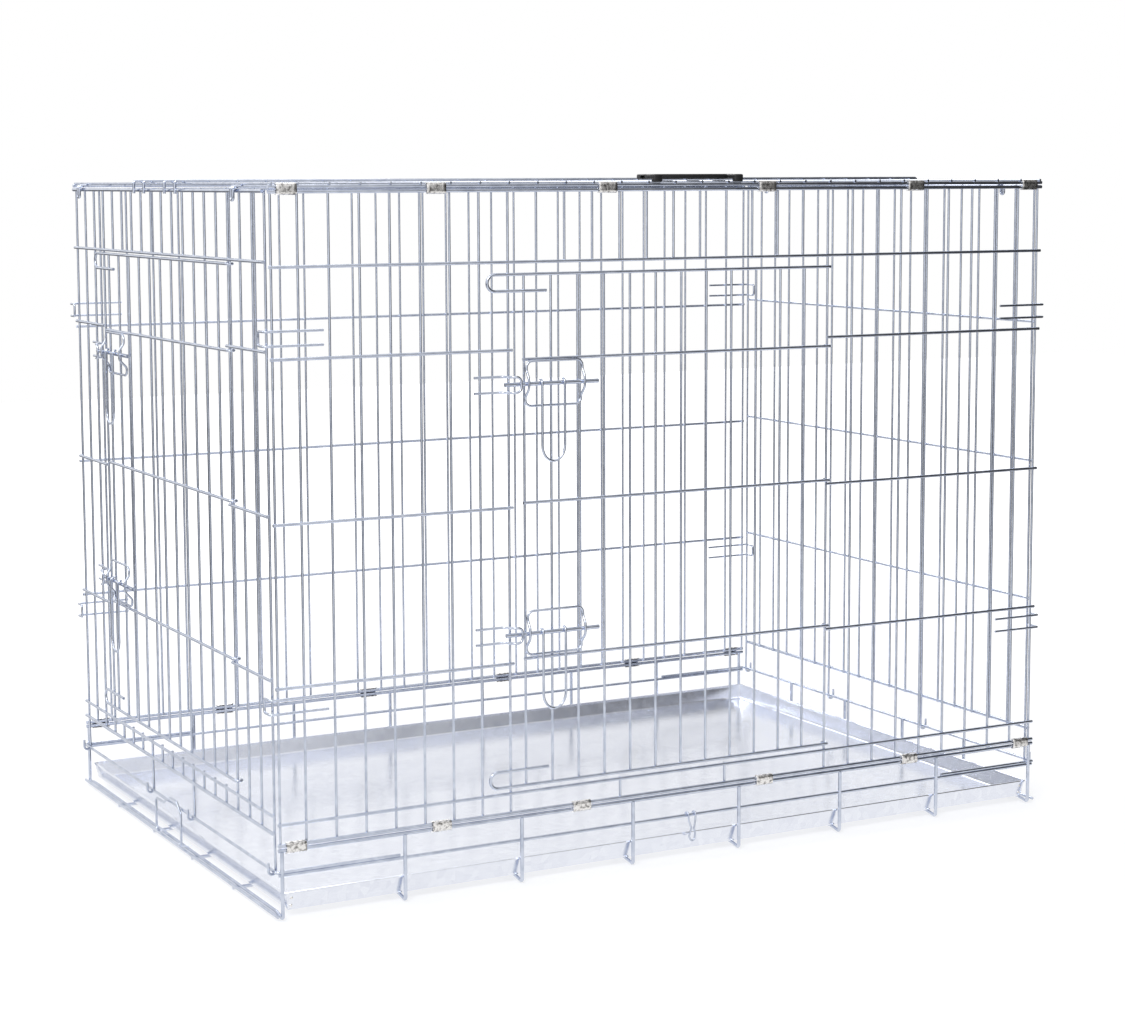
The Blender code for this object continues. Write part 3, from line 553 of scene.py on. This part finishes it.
def door(name, panel_frame, places, opening, levels, count):
    """A door in its own frame, whose origin is the hinge wire. Gives the frame and the free edge."""
    hinge = places[opening[1]]
    start = places[opening[0]] - hinge
    free = start + EDGE_GAP
    step = (-HINGE_GAP - free) / (count - 1)
    depth = -WELD - 2 * HAIR
    height = levels[0] - levels[-1] + 2 * TIP
    rows = [row_of(count, (free, depth, levels[-1] - TIP), (step, 0, 0), (0, 0, height))]
    lines = []
    for z in levels[1:-1]:
        curl = arc((0, 0, z), RING, -90, 95, 14, "XY")
        lines.append(([(free - WIRE - TIP, -LAYER, z), (-HINGE_GAP / 2, -LAYER, z), *curl], BAR))
    for z, side in ((levels[0], -1), (levels[-1], 1)):
        curl = arc((0, 0, z), RING, 95, -90, 14, "XY")
        middle = (start - STOP_REACH + STOP_TURN, -LAYER, z + side * STOP_TURN)
        bow = arc(middle, STOP_TURN, -side * 90, -side * 270, 14, "XZ")
        back_end = (start + STOP_RETURN, -LAYER, z + side * 2 * STOP_TURN)
        lines.append(([*curl, (-HINGE_GAP / 2, -LAYER, z), *bow, back_end], BAR))
    spots = [(free + step * index, (depth - LAYER) / 2, z) for index in range(count) for z in levels]
    where = panel_frame @ Matrix.Translation((hinge, LAYER, 0))
    piece(name + "_grille", rows + [swept(lines, bend=0.001), welds(spots)], name, [name], where=where)
    return where, start


front_steps = (-0.014, -0.011, 0.0045, 0.0045, 0.008)
front_levels = [z + step for z, step in zip((over, *between, under), front_steps)]
front_leaf, front_edge = door("front_door", front, SIDE, (8, 20), front_levels, 12)
left_steps = (-0.005, -0.005, 0.0045, 0.0045, 0.015)
left_levels = [z + step for z, step in zip((end_over, *end_between, end_under), left_steps)]
left_leaf, left_edge = door("left_door", left, END, (3, 15), left_levels, 11)

# %% [markdown]
# ## Bolts and their guides
# Each door is held by two slide bolts, straight rods 5 mm thick that lie close outside it. A bolt runs
# through a guide, one loop of wire on the door that bends out round the bolt. The guide is drawn as
# the corner points of its two cheeks, and the swept wire rounds them.

# %% Sizes of a bolt
BOLT, BOLT_REACH, BOLT_LENGTH = 0.0025, 0.009, 0.122
face = -WELD - HAIR - WIRE
bolt_depth = face - 0.0045 - BOLT
outer = bolt_depth - BOLT - HAIR - WIRE
print("bolts stand %.1f mm off the doors" % ((face - bolt_depth - BOLT) * 1e3))


# %% Guides and bolts
def guide_loop(left_u, right_u, z, half=0.026):
    """A guide's wire. It starts and ends in the middle of its top."""
    head, foot = -LAYER - BAR - HAIR - WIRE, face - HAIR - WIRE
    cheek = [(head, half), (head, 0.015), (outer, 0.006), (outer, -0.006), (foot, -0.016), (foot, -half)]
    middle = (left_u + right_u) / 2
    down = [(left_u, depth, z + h) for depth, h in cheek]
    up = [(right_u, depth, z + h) for depth, h in reversed(cheek)]
    return [(middle, head, z + half), *down, *up, (middle + HAIR, head, z + half)]


def guide_and_bolt(tag, side, leaf, start, z):
    """The guide on the door and the bolt that slides in it."""
    loop = guide_loop(start + 0.020, start + 0.020 + 0.073, z)
    piece("guide_" + tag, [swept([(loop, WIRE)], bend=0.0075)], side + "_door", ["latch_guide_" + tag],
          where=leaf)
    tip = start - BOLT_REACH
    rod = [(tip, bolt_depth, z), (tip + BOLT_LENGTH, bolt_depth, z)]
    piece("bolt_" + tag, [swept([(rod, BOLT)], sides=16)], "bolt_" + tag, ["latch_bolt_" + tag],
          where=leaf)


# %% [markdown]
# ## Pulls
# A bolt's pull is one wire that curls over the bolt, hangs down in two close legs and closes in a
# round end. It swings on the bolt and slides with it.


# %% Pulls
def pull(tag, leaf, start, z):
    """The pull of a bolt, drawn from one curl round to the other."""
    reach = BOLT + WIRE + 2 * HAIR
    first = start + 0.037
    second = first + 0.0295
    drop, bow_height, half = 0.090, 0.018, (second - first) / 2
    curl = [(first, bolt_depth + y, z + h) for x, y, h in arc((0, 0, 0), reach, 85, 180, 8)]
    far_curl = [(second, bolt_depth + y, z + h) for x, y, h in arc((0, 0, 0), reach, 180, 85, 8)]
    bow = []
    for u, y, h in arc(((first + second) / 2, bolt_depth - reach, 0), half, 180, 360, 16, "XZ"):
        bow.append((u, y, z + bow_height - drop + h * bow_height / half))
    line = [*curl, *bow, *far_curl]
    piece("pull_" + tag, [swept([(line, WIRE)], bend=0.001)], "pull_" + tag, ["latch_pull_" + tag],
          where=leaf)


# %% [markdown]
# ## Keepers
# A keeper is a long loop of wire on the panel beside the door. Its end next to the door bends out,
# and the bolt's tip goes in there.


# %% Keepers
def keeper(tag, side, panel_frame, edge_u, z):
    """The keeper on the panel, two level legs joined by their outer end."""
    flat, stand = LAYER - WIRE - HAIR - WIRE, LAYER + outer - 0.0015
    legs = []
    for h in (z + 0.009, z - 0.009):
        legs.append([(edge_u - 0.045, flat, h), (edge_u - 0.0095, flat, h), (edge_u, stand, h),
                     (edge_u + 0.0095, stand, h)])
    line = [*legs[0], *reversed(legs[1])]
    piece("keeper_" + tag, [swept([(line, WIRE)], bend=0.007)], side + "_panel", ["latch_keeper_" + tag],
          where=panel_frame)


# %% All latches
def latch(side, panel_frame, leaf, edge_u, start, levels):
    """Both latches of a door, a little below its second level wire and above its fourth."""
    for height, step, which in zip(levels[1::2], (-0.028, 0.030), ("upper", "lower")):
        tag = side + "_" + which
        guide_and_bolt(tag, side, leaf, start, height + step)
        pull(tag, leaf, start, height + step)
        keeper(tag, side, panel_frame, edge_u, height + step)


latch("front", front, front_leaf, SIDE[8], front_edge, front_levels)
latch("left", left, left_leaf, END[3], left_edge, left_levels)

# %% [markdown]
# ## Corner brackets
# Hairpins of wire, welded to the front and back panels, that close round the ends' edges. Each is
# drawn as two level legs that turn the corner, joined at their tip.


# %% Corner brackets
def brackets(tag, panel_frame):
    """Four hairpins of one panel."""
    height, reach, wrap = 0.016, 0.070, 0.017
    past = END_X + RAIL + SIDE_GAP + WIRE
    depth = LAYER - FRAME - HAIR - WIRE
    runs = []
    for side in (-1, 1):
        for low in (between[0] + 0.0148, between[2] - 0.028):
            legs = []
            for z in (low + height, low):
                start = (side * (past - reach), LAYER - 2 * WIRE - HAIR, z)
                legs.append([start, (side * SIDE_HALF, depth, z), (side * past, depth, z),
                             (side * past, wrap, z)])
            runs.append(([*legs[0], *reversed(legs[1])], WIRE))
    corners = ("left_upper", "left_lower", "right_upper", "right_lower")
    names = [f"corner_bracket_{tag}_{corner}" for corner in corners]
    piece("corner_brackets_" + tag, [swept(runs)], tag + "_panel", names, where=panel_frame)


brackets("front", front)
brackets("back", back)

# %% [markdown]
# ## Hinge sleeves
# Short sleeves of pressed strip wrap two rails, one above the other, and let a panel turn. One sleeve
# is a strip bent round both rails, given its thickness and a small edge radius. A tree copies it to
# its places along the rail.

# %% Node tree: copies of one sleeve
sleeve_row, given = group("sleeve_row", [
    ("Places", "Geometry", None), ("Sleeve", "Object", None), ("Metal", "Material", None)])
source = add(sleeve_row, "GeometryNodeObjectInfo", Object=given["Sleeve"])
copies = add(sleeve_row, "GeometryNodeInstanceOnPoints", Points=given["Places"],
             Instance=source.outputs["Geometry"])
close(sleeve_row, copies, given["Metal"])


# %% One sleeve
def sleeve_object():
    """A pressed sleeve round two rails, round above and below and open on its inner side."""
    wall, drop, half = 0.0009, 2 * RAIL + HAIR, 0.012
    middle = RAIL + HAIR + wall / 2
    outline = arc((0, 0, 0), middle, 60, 180, 14) + arc((0, 0, -drop), middle, 180, 300, 14)
    work = bmesh.new()
    across = [-half + 2 * half * step / 6 for step in range(7)]
    grid = [[work.verts.new((x, y, z)) for _, y, z in outline] for x in across]
    for a, b in zip(grid, grid[1:]):
        for k in range(len(outline) - 1):
            work.faces.new((a[k], b[k], b[k + 1], a[k + 1]))
    bmesh.ops.recalc_face_normals(work, faces=work.faces)
    made = in_scene("sleeve", mesh_of(work, "sleeve"))
    thick = made.modifiers.new("wall", "SOLIDIFY")
    thick.thickness, thick.offset = wall, 0.0
    soft = made.modifiers.new("edge", "BEVEL")
    soft.width, soft.segments = 0.0002, 2
    return made


sleeve = sleeve_object()
print("sleeve faces:", len(sleeve.data.polygons))


# %% All sleeves
def sleeves(tag, panel_frame, places, z):
    """The sleeves along one rail. A place of 5.5 is half way between wires 5 and 6."""
    points = [(SIDE[int(i)] + (SIDE[int(i) + 1] - SIDE[int(i)]) * (i - int(i)), 0, z) for i in places]
    source = bpy.data.meshes.new("places")
    source.from_pydata(points, [], [])
    mesh = run(sleeve_row, source, Sleeve=sleeve, Metal=pressed)
    names = [f"hinge_clip_{tag}_{number}" for number in range(1, 7)]
    piece("hinge_sleeves_" + tag, [mesh], tag + "_panel", names, where=panel_frame)


sleeves("front", front, (0.55, 5.5, 10.5, 17.5, 23.5, 28.45), foot)
sleeves("back", back, (0.55, 5.5, 11.5, 17.5, 23.5, 28.45), foot)
sleeves("top", lid, (0.55, 5.5, 11.5, 17.5, 23.5, 28.45), rise)
bpy.data.objects.remove(sleeve, do_unlink=True)

# %% [markdown]
# ## Base
# A welded basket. Cross wires hang from the flange rails that carry the panels, touch the floor at
# both sides and slope up from there to run under the tray. Long wires lie under them. All are swept
# from their corner points, because the radius of each bend is the same.

# %% Wire base
leg, floor_half, ramp = SIDE_Y + 0.0010, 0.002, 0.020
cross = 2 * floor_half + FRAME - WELD
last = END_X - LAYER - 2 * FRAME - HAIR
runs = []
for bay in range(8):
    x = -SIDE_HALF + (last + SIDE_HALF) * bay / 7
    half = [(x, -leg, FLANGE - 0.0012), (x, -leg, FRAME + 0.0002), (x, -leg + ramp, cross)]
    runs.append((half + [(a, -b, c) for a, b, c in reversed(half)], FRAME))
floor_y = [SIDE_Y * (2 * (step + 1) / 5 - 1) for step in range(4)]
for y in floor_y:
    runs.append(([(END_X - LAYER, y, floor_half), (END_X - LAYER, y, END_MID + TIP)], FRAME))
for y in floor_y:
    runs.append(([(-END_X, y, floor_half), (END_X, y, floor_half)], floor_half))
for y in (-SIDE_Y, SIDE_Y):
    runs.append(([(-edge, y, FLANGE), (edge, y, FLANGE)], RAIL - HAIR))
    runs.append(([(-edge, y, MID), (edge, y, MID)], BAR))
end_wire = 2 * floor_half + BAR - WELD
for side in (-1, 1):
    x = side * END_X
    runs.append(([(x, -SIDE_Y - TIP, end_wire), (x, SIDE_Y + TIP, end_wire)], BAR))
    corner = [(x - side * 0.150, -SIDE_Y, END_MID), (x, -SIDE_Y, END_MID)]
    runs.append((corner + [(a, -b, c) for a, b, c in reversed(corner)], BAR))
piece("base_basket", [swept(runs)], "base", ["base_frame"])

# %% [markdown]
# ## Tray
# A pan of sheet metal. Its walls lean out a little, their top edge is rolled over, and the corners
# are riveted. Two wire eyes at the open end carry the latch. The sheet is drawn as one section that
# goes round the tray, up the outside, over the rim and down the inside, so that it has a real
# thickness. Extra rings beside each bend keep walls and floor flat, and so what they mirror straight.

# %% Outline of the tray
tray_low = cross + FRAME + HAIR
tray_top = tray_low + 0.022
low_x, high_x, half_y = -END_X + 0.010, END_X - LAYER - FRAME - 0.002, leg - FRAME - 0.002
FLARE = 0.0035


def rounded_outline(inset, z):
    """Points round the tray at one height. A point beside each rounded corner keeps the walls flat."""
    points = []
    r, beside = max(0.0008, 0.003 - inset), 0.004
    corners = ((high_x, half_y, 0), (low_x, half_y, 90), (low_x, -half_y, 180), (high_x, -half_y, 270))
    for cx, cy, turn in corners:
        middle_x = cx - math.copysign(inset + r, cx)
        middle_y = cy - math.copysign(inset + r, cy)
        for degrees, shift in ((0, -beside), (0, 0), (30, 0), (60, 0), (90, 0), (90, beside)):
            angle = math.radians(turn + degrees)
            x = middle_x + r * math.cos(angle) - shift * math.sin(angle)
            points.append((x, middle_y + r * math.sin(angle) + shift * math.cos(angle), z))
    return points


print("tray %.0f x %.0f mm" % ((high_x - low_x) * 1e3, 2 * half_y * 1e3))


# %% Sheet of the tray
def tray_mesh():
    """A pan of sheet with flared walls and a rolled rim."""
    wall, roll = 0.0010, 0.0030
    bottom, top, lean = tray_low + 0.0030, tray_top - roll, (FLARE - 0.0004) / 16
    outside = [(0.0120 + FLARE, tray_low), (0.0052 + FLARE, tray_low),
               (0.0024 + FLARE, tray_low + 0.0005), (0.0012 + FLARE, tray_low + 0.0022),
               (0.0012 + FLARE - lean, bottom + 0.0002), (0.0012 + lean, top - 0.001)]
    rim = [(0.0012, top), (0.0002, top + 0.0004), (0.0, tray_top - 0.0012), (0.0006, tray_top - 0.0002),
           (0.0016, tray_top), (0.0024, tray_top - 0.0004), (0.0026, top)]
    inside = [(0.0026 + lean, top - 0.001), (0.0022 + FLARE - lean, bottom + 0.001),
              (0.0022 + FLARE, bottom), (0.0030 + FLARE, tray_low + 0.0014),
              (0.0052 + FLARE, tray_low + wall), (0.0120 + FLARE, tray_low + wall)]
    work = bmesh.new()
    rings = []
    for inset, z in outside + rim + inside:
        rings.append([work.verts.new(point) for point in rounded_outline(inset, z)])
    for a, b in zip(rings, rings[1:]):
        for k in range(len(a)):
            n = (k + 1) % len(a)
            work.faces.new((a[k], a[n], b[n], b[k]))
    work.faces.new(list(reversed(rings[0])))
    work.faces.new(rings[-1])
    bmesh.ops.recalc_face_normals(work, faces=work.faces)
    mesh = mesh_of(work, "tray")
    mesh.shade_smooth()
    mesh.set_sharp_from_angle(angle=math.radians(35))
    mesh.materials.append(sheet_metal)
    return mesh


# %% Eyes, rivets and the finished tray
EYE, EYE_WIRE = 0.0024, 0.0006
axis_x, axis_z = -END_X - BAR - 2 * HAIR - WIRE, tray_low + 2 * HAIR + WIRE + 0.0012
eyes = []
for side in (-1, 1):
    y = side * (0.046 - WIRE - HAIR - 0.0025)
    eyes += [(arc((axis_x, y, axis_z), EYE, 90, -250, 14, "XZ"), EYE_WIRE)]
    eyes += [([(axis_x, y, axis_z - EYE), (low_x + 0.0005, y, axis_z - EYE)], EYE_WIRE)]
rivets = []
for x in (low_x + 0.009, high_x - 0.009):
    for h in (0.006, 0.015):
        wall_y = half_y - 0.0012 - FLARE * (0.019 - h) / 0.0168
        rivets += [(x, -wall_y, tray_low + h), (x, wall_y, tray_low + h)]
rivet_heads = welds(rivets, (0.0019, 0.0008, 0.0019), pressed)
meshes = [tray_mesh(), swept(eyes, sides=8, metal=sheet_metal), rivet_heads]
piece("tray_pan", meshes, "tray", ["tray"])

# %% [markdown]
# ## Tray latch
# A bail of wire across the open end keeps the tray in. Its feet turn inwards into the tray's eyes,
# and its top rises in a hump that a thumb can push. It is one wire with rounded corners.

# %% Tray latch
half, pin, bail_rise = 0.046, 0.037, 0.040
hump = bail_rise + 0.012
bail = [(0, -pin, 0), (0, -half, 0), (0, -half, bail_rise), (0, -0.032, hump), (0, -0.009, hump),
        (0, 0.018, bail_rise), (0, half, bail_rise), (0, half, 0), (0, pin, 0)]
piece("tray_latch_bail", [swept([(bail, WIRE)], bend=0.005)], "tray_latch", ["tray_latch"],
      where=frame_of(axis_x, 0, axis_z))

# %% [markdown]
# ## Tray clip
# A small spring wire curls twice round the front mid wire and hangs down in front of the tray, in
# two wavy legs that keep its edge down.

# %% Tray clip
CLIP_WIRE = 0.0012
turn = BAR + CLIP_WIRE + 2 * HAIR
curl = [(-0.0050, y, z) for x, y, z in arc((0, 0, 0), turn, -30, 190, 16)]
far_curl = [(-x, y, z) for x, y, z in reversed(curl)]
down = [(-0.0046, -turn, -0.006), (-0.0010, -turn, -0.016), (-0.0044, -turn, -0.026),
        (-0.0010, -turn, -0.0325)]
up = [(0.0034, -turn, -0.0300), (0.0044, -turn, -0.022), (0.0010, -turn - 0.0026, -0.016),
      (0.0046, -turn, -0.006)]
spring = swept([([*curl, *down, *up, *far_curl], CLIP_WIRE)])
piece("tray_spring_clip", [spring], "tray_clip", ["tray_clip"], where=frame_of(0.005, -SIDE_Y, MID))

# %% [markdown]
# ## Carry handle
# A flat moulded grip that lies on the top wires, with a lug at each end that clips round the rail.
# Blocks give its form, and a Bevel modifier gives them the soft edges that a mould leaves.


# %% Carry handle
def grip_mesh():
    """The grip and its lugs as plain blocks."""
    base, half, lug, lug_y = LID_WIRE - LID + FRAME + HAIR, 0.062, 0.012, 0.0037
    blocks = [((-half, 0.016, base), (half, 0.038, base + 0.006))]
    for side in (-1, 1):
        a, b = sorted((side * half, side * (half - lug)))
        blocks.append(((a, -lug_y, base), (b, 0.030, base + 0.0058)))
        blocks.append(((a, -lug_y, 0.0029), (b, lug_y, base + 0.003)))
    work = bmesh.new()
    for low, high in blocks:
        size = Vector(high) - Vector(low)
        middle = (Vector(high) + Vector(low)) / 2
        place = Matrix.Translation(middle) @ Matrix.Diagonal((*size, 1))
        bmesh.ops.create_cube(work, size=1.0, matrix=place)
    mesh = mesh_of(work, "grip")
    mesh.materials.append(plastic)
    return mesh


def rounded(mesh, width):
    """The mesh with its edges rounded."""
    holder = in_scene("holder", mesh)
    soft = holder.modifiers.new("edge", "BEVEL")
    soft.width, soft.segments = width, 3
    return keep(holder, 40)


piece("carry_grip", [rounded(grip_mesh(), 0.0018)], "carry_handle", ["carry_handle"],
      where=frame_of(0.013, -SIDE_Y, LID))

# %% [markdown]
# ## Studio floor
# A plain pale floor. The camera sees half its lit colour and, added to it, a glow that rises to
# white further out, so that the crate's shadow stays and the edge of the floor doesn't show. Metal
# sees a white floor too. It darkens to the right in front of the crate and to the left, where the
# darker sides of the room stand, because bright wire is drawn by the dark that it mirrors.

# %% Material: studio floor
WHITE = linear("#FFFFFF")
LEFT_WALL = (-0.88, 0.47, 0.0)
floor_finish, tree, place = new_finish("studio_floor")
paint = add(tree, "ShaderNodeBsdfPrincipled", Base_Color=linear("#F1F3F8"), Roughness=0.9)
away = add(tree, "ShaderNodeVectorMath", {"operation": "LENGTH"}, Vector=place)
lift = add(tree, "ShaderNodeMapRange", Value=away.outputs["Value"], From_Min=0.8, From_Max=2.0,
           To_Min=0.64, To_Max=1.0)
dim = add(tree, "ShaderNodeMapRange", Value=away.outputs["Value"], From_Min=0.8, From_Max=2.2,
          To_Min=1.0, To_Max=0.85)
spot = add(tree, "ShaderNodeSeparateXYZ", Vector=place)
east = add(tree, "ShaderNodeMapRange", Value=spot.outputs["X"], From_Min=0.60, From_Max=1.1,
           To_Min=1.0, To_Max=0.08)
front_east = add(tree, "ShaderNodeMapRange", Value=spot.outputs["Y"], From_Min=0.0, From_Max=0.6,
                 To_Min=east, To_Max=1.0)
leftward = add(tree, "ShaderNodeVectorMath", {"operation": "DOT_PRODUCT"}, _0=place, _1=LEFT_WALL)
west = add(tree, "ShaderNodeMapRange", Value=leftward.outputs["Value"], From_Min=0.9, From_Max=1.8,
           To_Min=1.0, To_Max=0.20)
sides = add(tree, "ShaderNodeMath", {"operation": "MULTIPLY"}, _0=front_east, _1=west)
gleam = add(tree, "ShaderNodeMath", {"operation": "MULTIPLY"}, _0=dim, _1=sides)
path = add(tree, "ShaderNodeLightPath")
seen = add(tree, "ShaderNodeMath", {"operation": "MAXIMUM"}, _0=path.outputs["Is Glossy Ray"],
           _1=path.outputs["Is Transmission Ray"])
glow = add(tree, "ShaderNodeEmission", Color=WHITE, Strength=lift)
mirrored = add(tree, "ShaderNodeEmission", Color=WHITE, Strength=gleam)
half_lit = add(tree, "ShaderNodeMixShader", Fac=0.5, _2=paint)
lit = add(tree, "ShaderNodeAddShader", _0=half_lit, _1=glow)
camera_view = add(tree, "ShaderNodeMixShader", Fac=path.outputs["Is Camera Ray"], _1=paint, _2=lit)
both = add(tree, "ShaderNodeMixShader", Fac=seen, _1=camera_view, _2=mirrored)
add(tree, "ShaderNodeOutputMaterial", Surface=both)
print("floor nodes:", len(tree.nodes))

# %% Floor
work = bmesh.new()
bmesh.ops.create_grid(work, x_segments=1, y_segments=1, size=6.0)
floor = in_scene("studio_floor", mesh_of(work, "studio_floor"))
floor.data.materials.append(floor_finish)
floor.location.z = -0.0002
print("floor:", [round(side, 1) for side in floor.dimensions], "m")

# %% [markdown]
# ## The room around the crate
# The camera sees a plain white world, and so does metal, but for three darker parts of the room with
# soft edges. One stands to the right, but not behind the crate, and gives the dark lines along the
# level wires. One stands to the left. The third is a low bench in front on the right, which the
# tray's back wall mirrors. Each is a rule on the direction of a reflection, not on the camera's place.

# %% World
world = bpy.data.worlds.new("studio")
bpy.context.scene.world = world
world.use_nodes = True
tree = world.node_tree
tree.nodes.clear()
path = add(tree, "ShaderNodeLightPath")
seen = add(tree, "ShaderNodeMath", {"operation": "MAXIMUM"}, _0=path.outputs["Is Glossy Ray"],
           _1=path.outputs["Is Transmission Ray"])
toward = add(tree, "ShaderNodeTexCoord").outputs["Generated"]
turned = add(tree, "ShaderNodeSeparateXYZ", Vector=toward)
right_wall = add(tree, "ShaderNodeMapRange", Value=turned.outputs["X"], From_Min=0.39,
                 From_Max=0.55, To_Min=1.0, To_Max=0.10)
front_right = add(tree, "ShaderNodeMapRange", Value=turned.outputs["Y"], From_Min=0.15, From_Max=0.5,
                  To_Min=right_wall, To_Max=1.0)
leftward = add(tree, "ShaderNodeVectorMath", {"operation": "DOT_PRODUCT"}, _0=toward, _1=LEFT_WALL)
left_wall = add(tree, "ShaderNodeMapRange", Value=leftward.outputs["Value"], From_Min=0.83,
                From_Max=0.96, To_Min=1.0, To_Max=0.15)
walls = add(tree, "ShaderNodeMath", {"operation": "MULTIPLY"}, _0=front_right, _1=left_wall)
bench = add(tree, "ShaderNodeMapRange", Value=turned.outputs["X"], From_Min=0.30, From_Max=0.45,
            To_Min=1.0, To_Max=0.30)
rising = add(tree, "ShaderNodeMapRange", Value=turned.outputs["Z"], From_Min=0.20, From_Max=0.45)
above_bench = add(tree, "ShaderNodeMapRange", Value=rising, To_Min=bench, To_Max=1.0)
near_front = add(tree, "ShaderNodeMapRange", Value=turned.outputs["Y"], From_Min=-0.5, From_Max=-0.1,
                 To_Min=above_bench, To_Max=1.0)
room = add(tree, "ShaderNodeMath", {"operation": "MULTIPLY"}, _0=walls, _1=near_front)
soft = add(tree, "ShaderNodeMapRange", Value=seen, To_Min=0.60, To_Max=room)
power = add(tree, "ShaderNodeMapRange", Value=path.outputs["Is Camera Ray"], To_Min=soft, To_Max=1.0)
sky = add(tree, "ShaderNodeBackground", Color=WHITE, Strength=power)
add(tree, "ShaderNodeOutputWorld", Surface=sky)
print("world nodes:", len(tree.nodes))

# %% [markdown]
# ## Lamps
# Three soft boxes: the key from the front left, a fill from the left and a rim light from behind. The
# fill stands where the level wires don't mirror it.


# %% Lamps
def lamp(name, place, size, watts, aim=(0, 0, 0.4)):
    """A square soft box, aimed at the middle of the crate."""
    data = bpy.data.lights.new(name, "AREA")
    data.shape, data.size, data.energy = "SQUARE", size, watts
    made = in_scene(name, data)
    made.location = place
    made.rotation_euler = (Vector(aim) - Vector(place)).to_track_quat("-Z", "Y").to_euler()
    print(name, "%.1f m wide, %.0f W" % (size, watts))


lamp("key", (-2.2, -2.6, 3.2), 1.6, 60)
lamp("fill", (-3.2, 1.2, 2.4), 2.0, 30)
lamp("rim", (0.5, 3.0, 3.0), 1.5, 30)
bpy.context.scene.view_settings.view_transform = "Standard"

# %% [markdown]
# ## Camera
# The camera stands level with the top of the crate, 2.6 metres from its front left corner. Its lens
# was worked out from the crate's corners in the photograph, in its pixels. A small shift frames it
# alike, because the lens points at row 440 and the middle row is 514.5.

# %% Camera
IMAGE_WIDTH, FOCAL, MIDDLE_ROW, LENS_ROW = 1125, 2411.8, 514.5, 440.0
CAMERA_PLACE = (-1.4905, -2.8023, 0.8220)
yaw, pitch, roll = math.radians(28.326), math.radians(-6.199), math.radians(-0.212)
ahead = Vector((math.cos(pitch) * math.sin(yaw), math.cos(pitch) * math.cos(yaw), math.sin(pitch)))
across = Vector((math.cos(yaw), -math.sin(yaw), 0))
up = across.cross(ahead)
right_axis = math.cos(roll) * across + math.sin(roll) * up
up_axis = -math.sin(roll) * across + math.cos(roll) * up
lens = bpy.data.cameras.new("camera")
lens.sensor_width, lens.lens = 36.0, 36.0 * FOCAL / IMAGE_WIDTH
lens.shift_x, lens.shift_y = 0.0, -(MIDDLE_ROW - LENS_ROW) / IMAGE_WIDTH
camera = in_scene("camera", lens)
turn = Matrix((right_axis, up_axis, -ahead)).transposed().to_4x4()
camera.matrix_world = Matrix.Translation(CAMERA_PLACE) @ turn
bpy.context.scene.camera = camera
print("lens %.1f mm" % lens.lens)
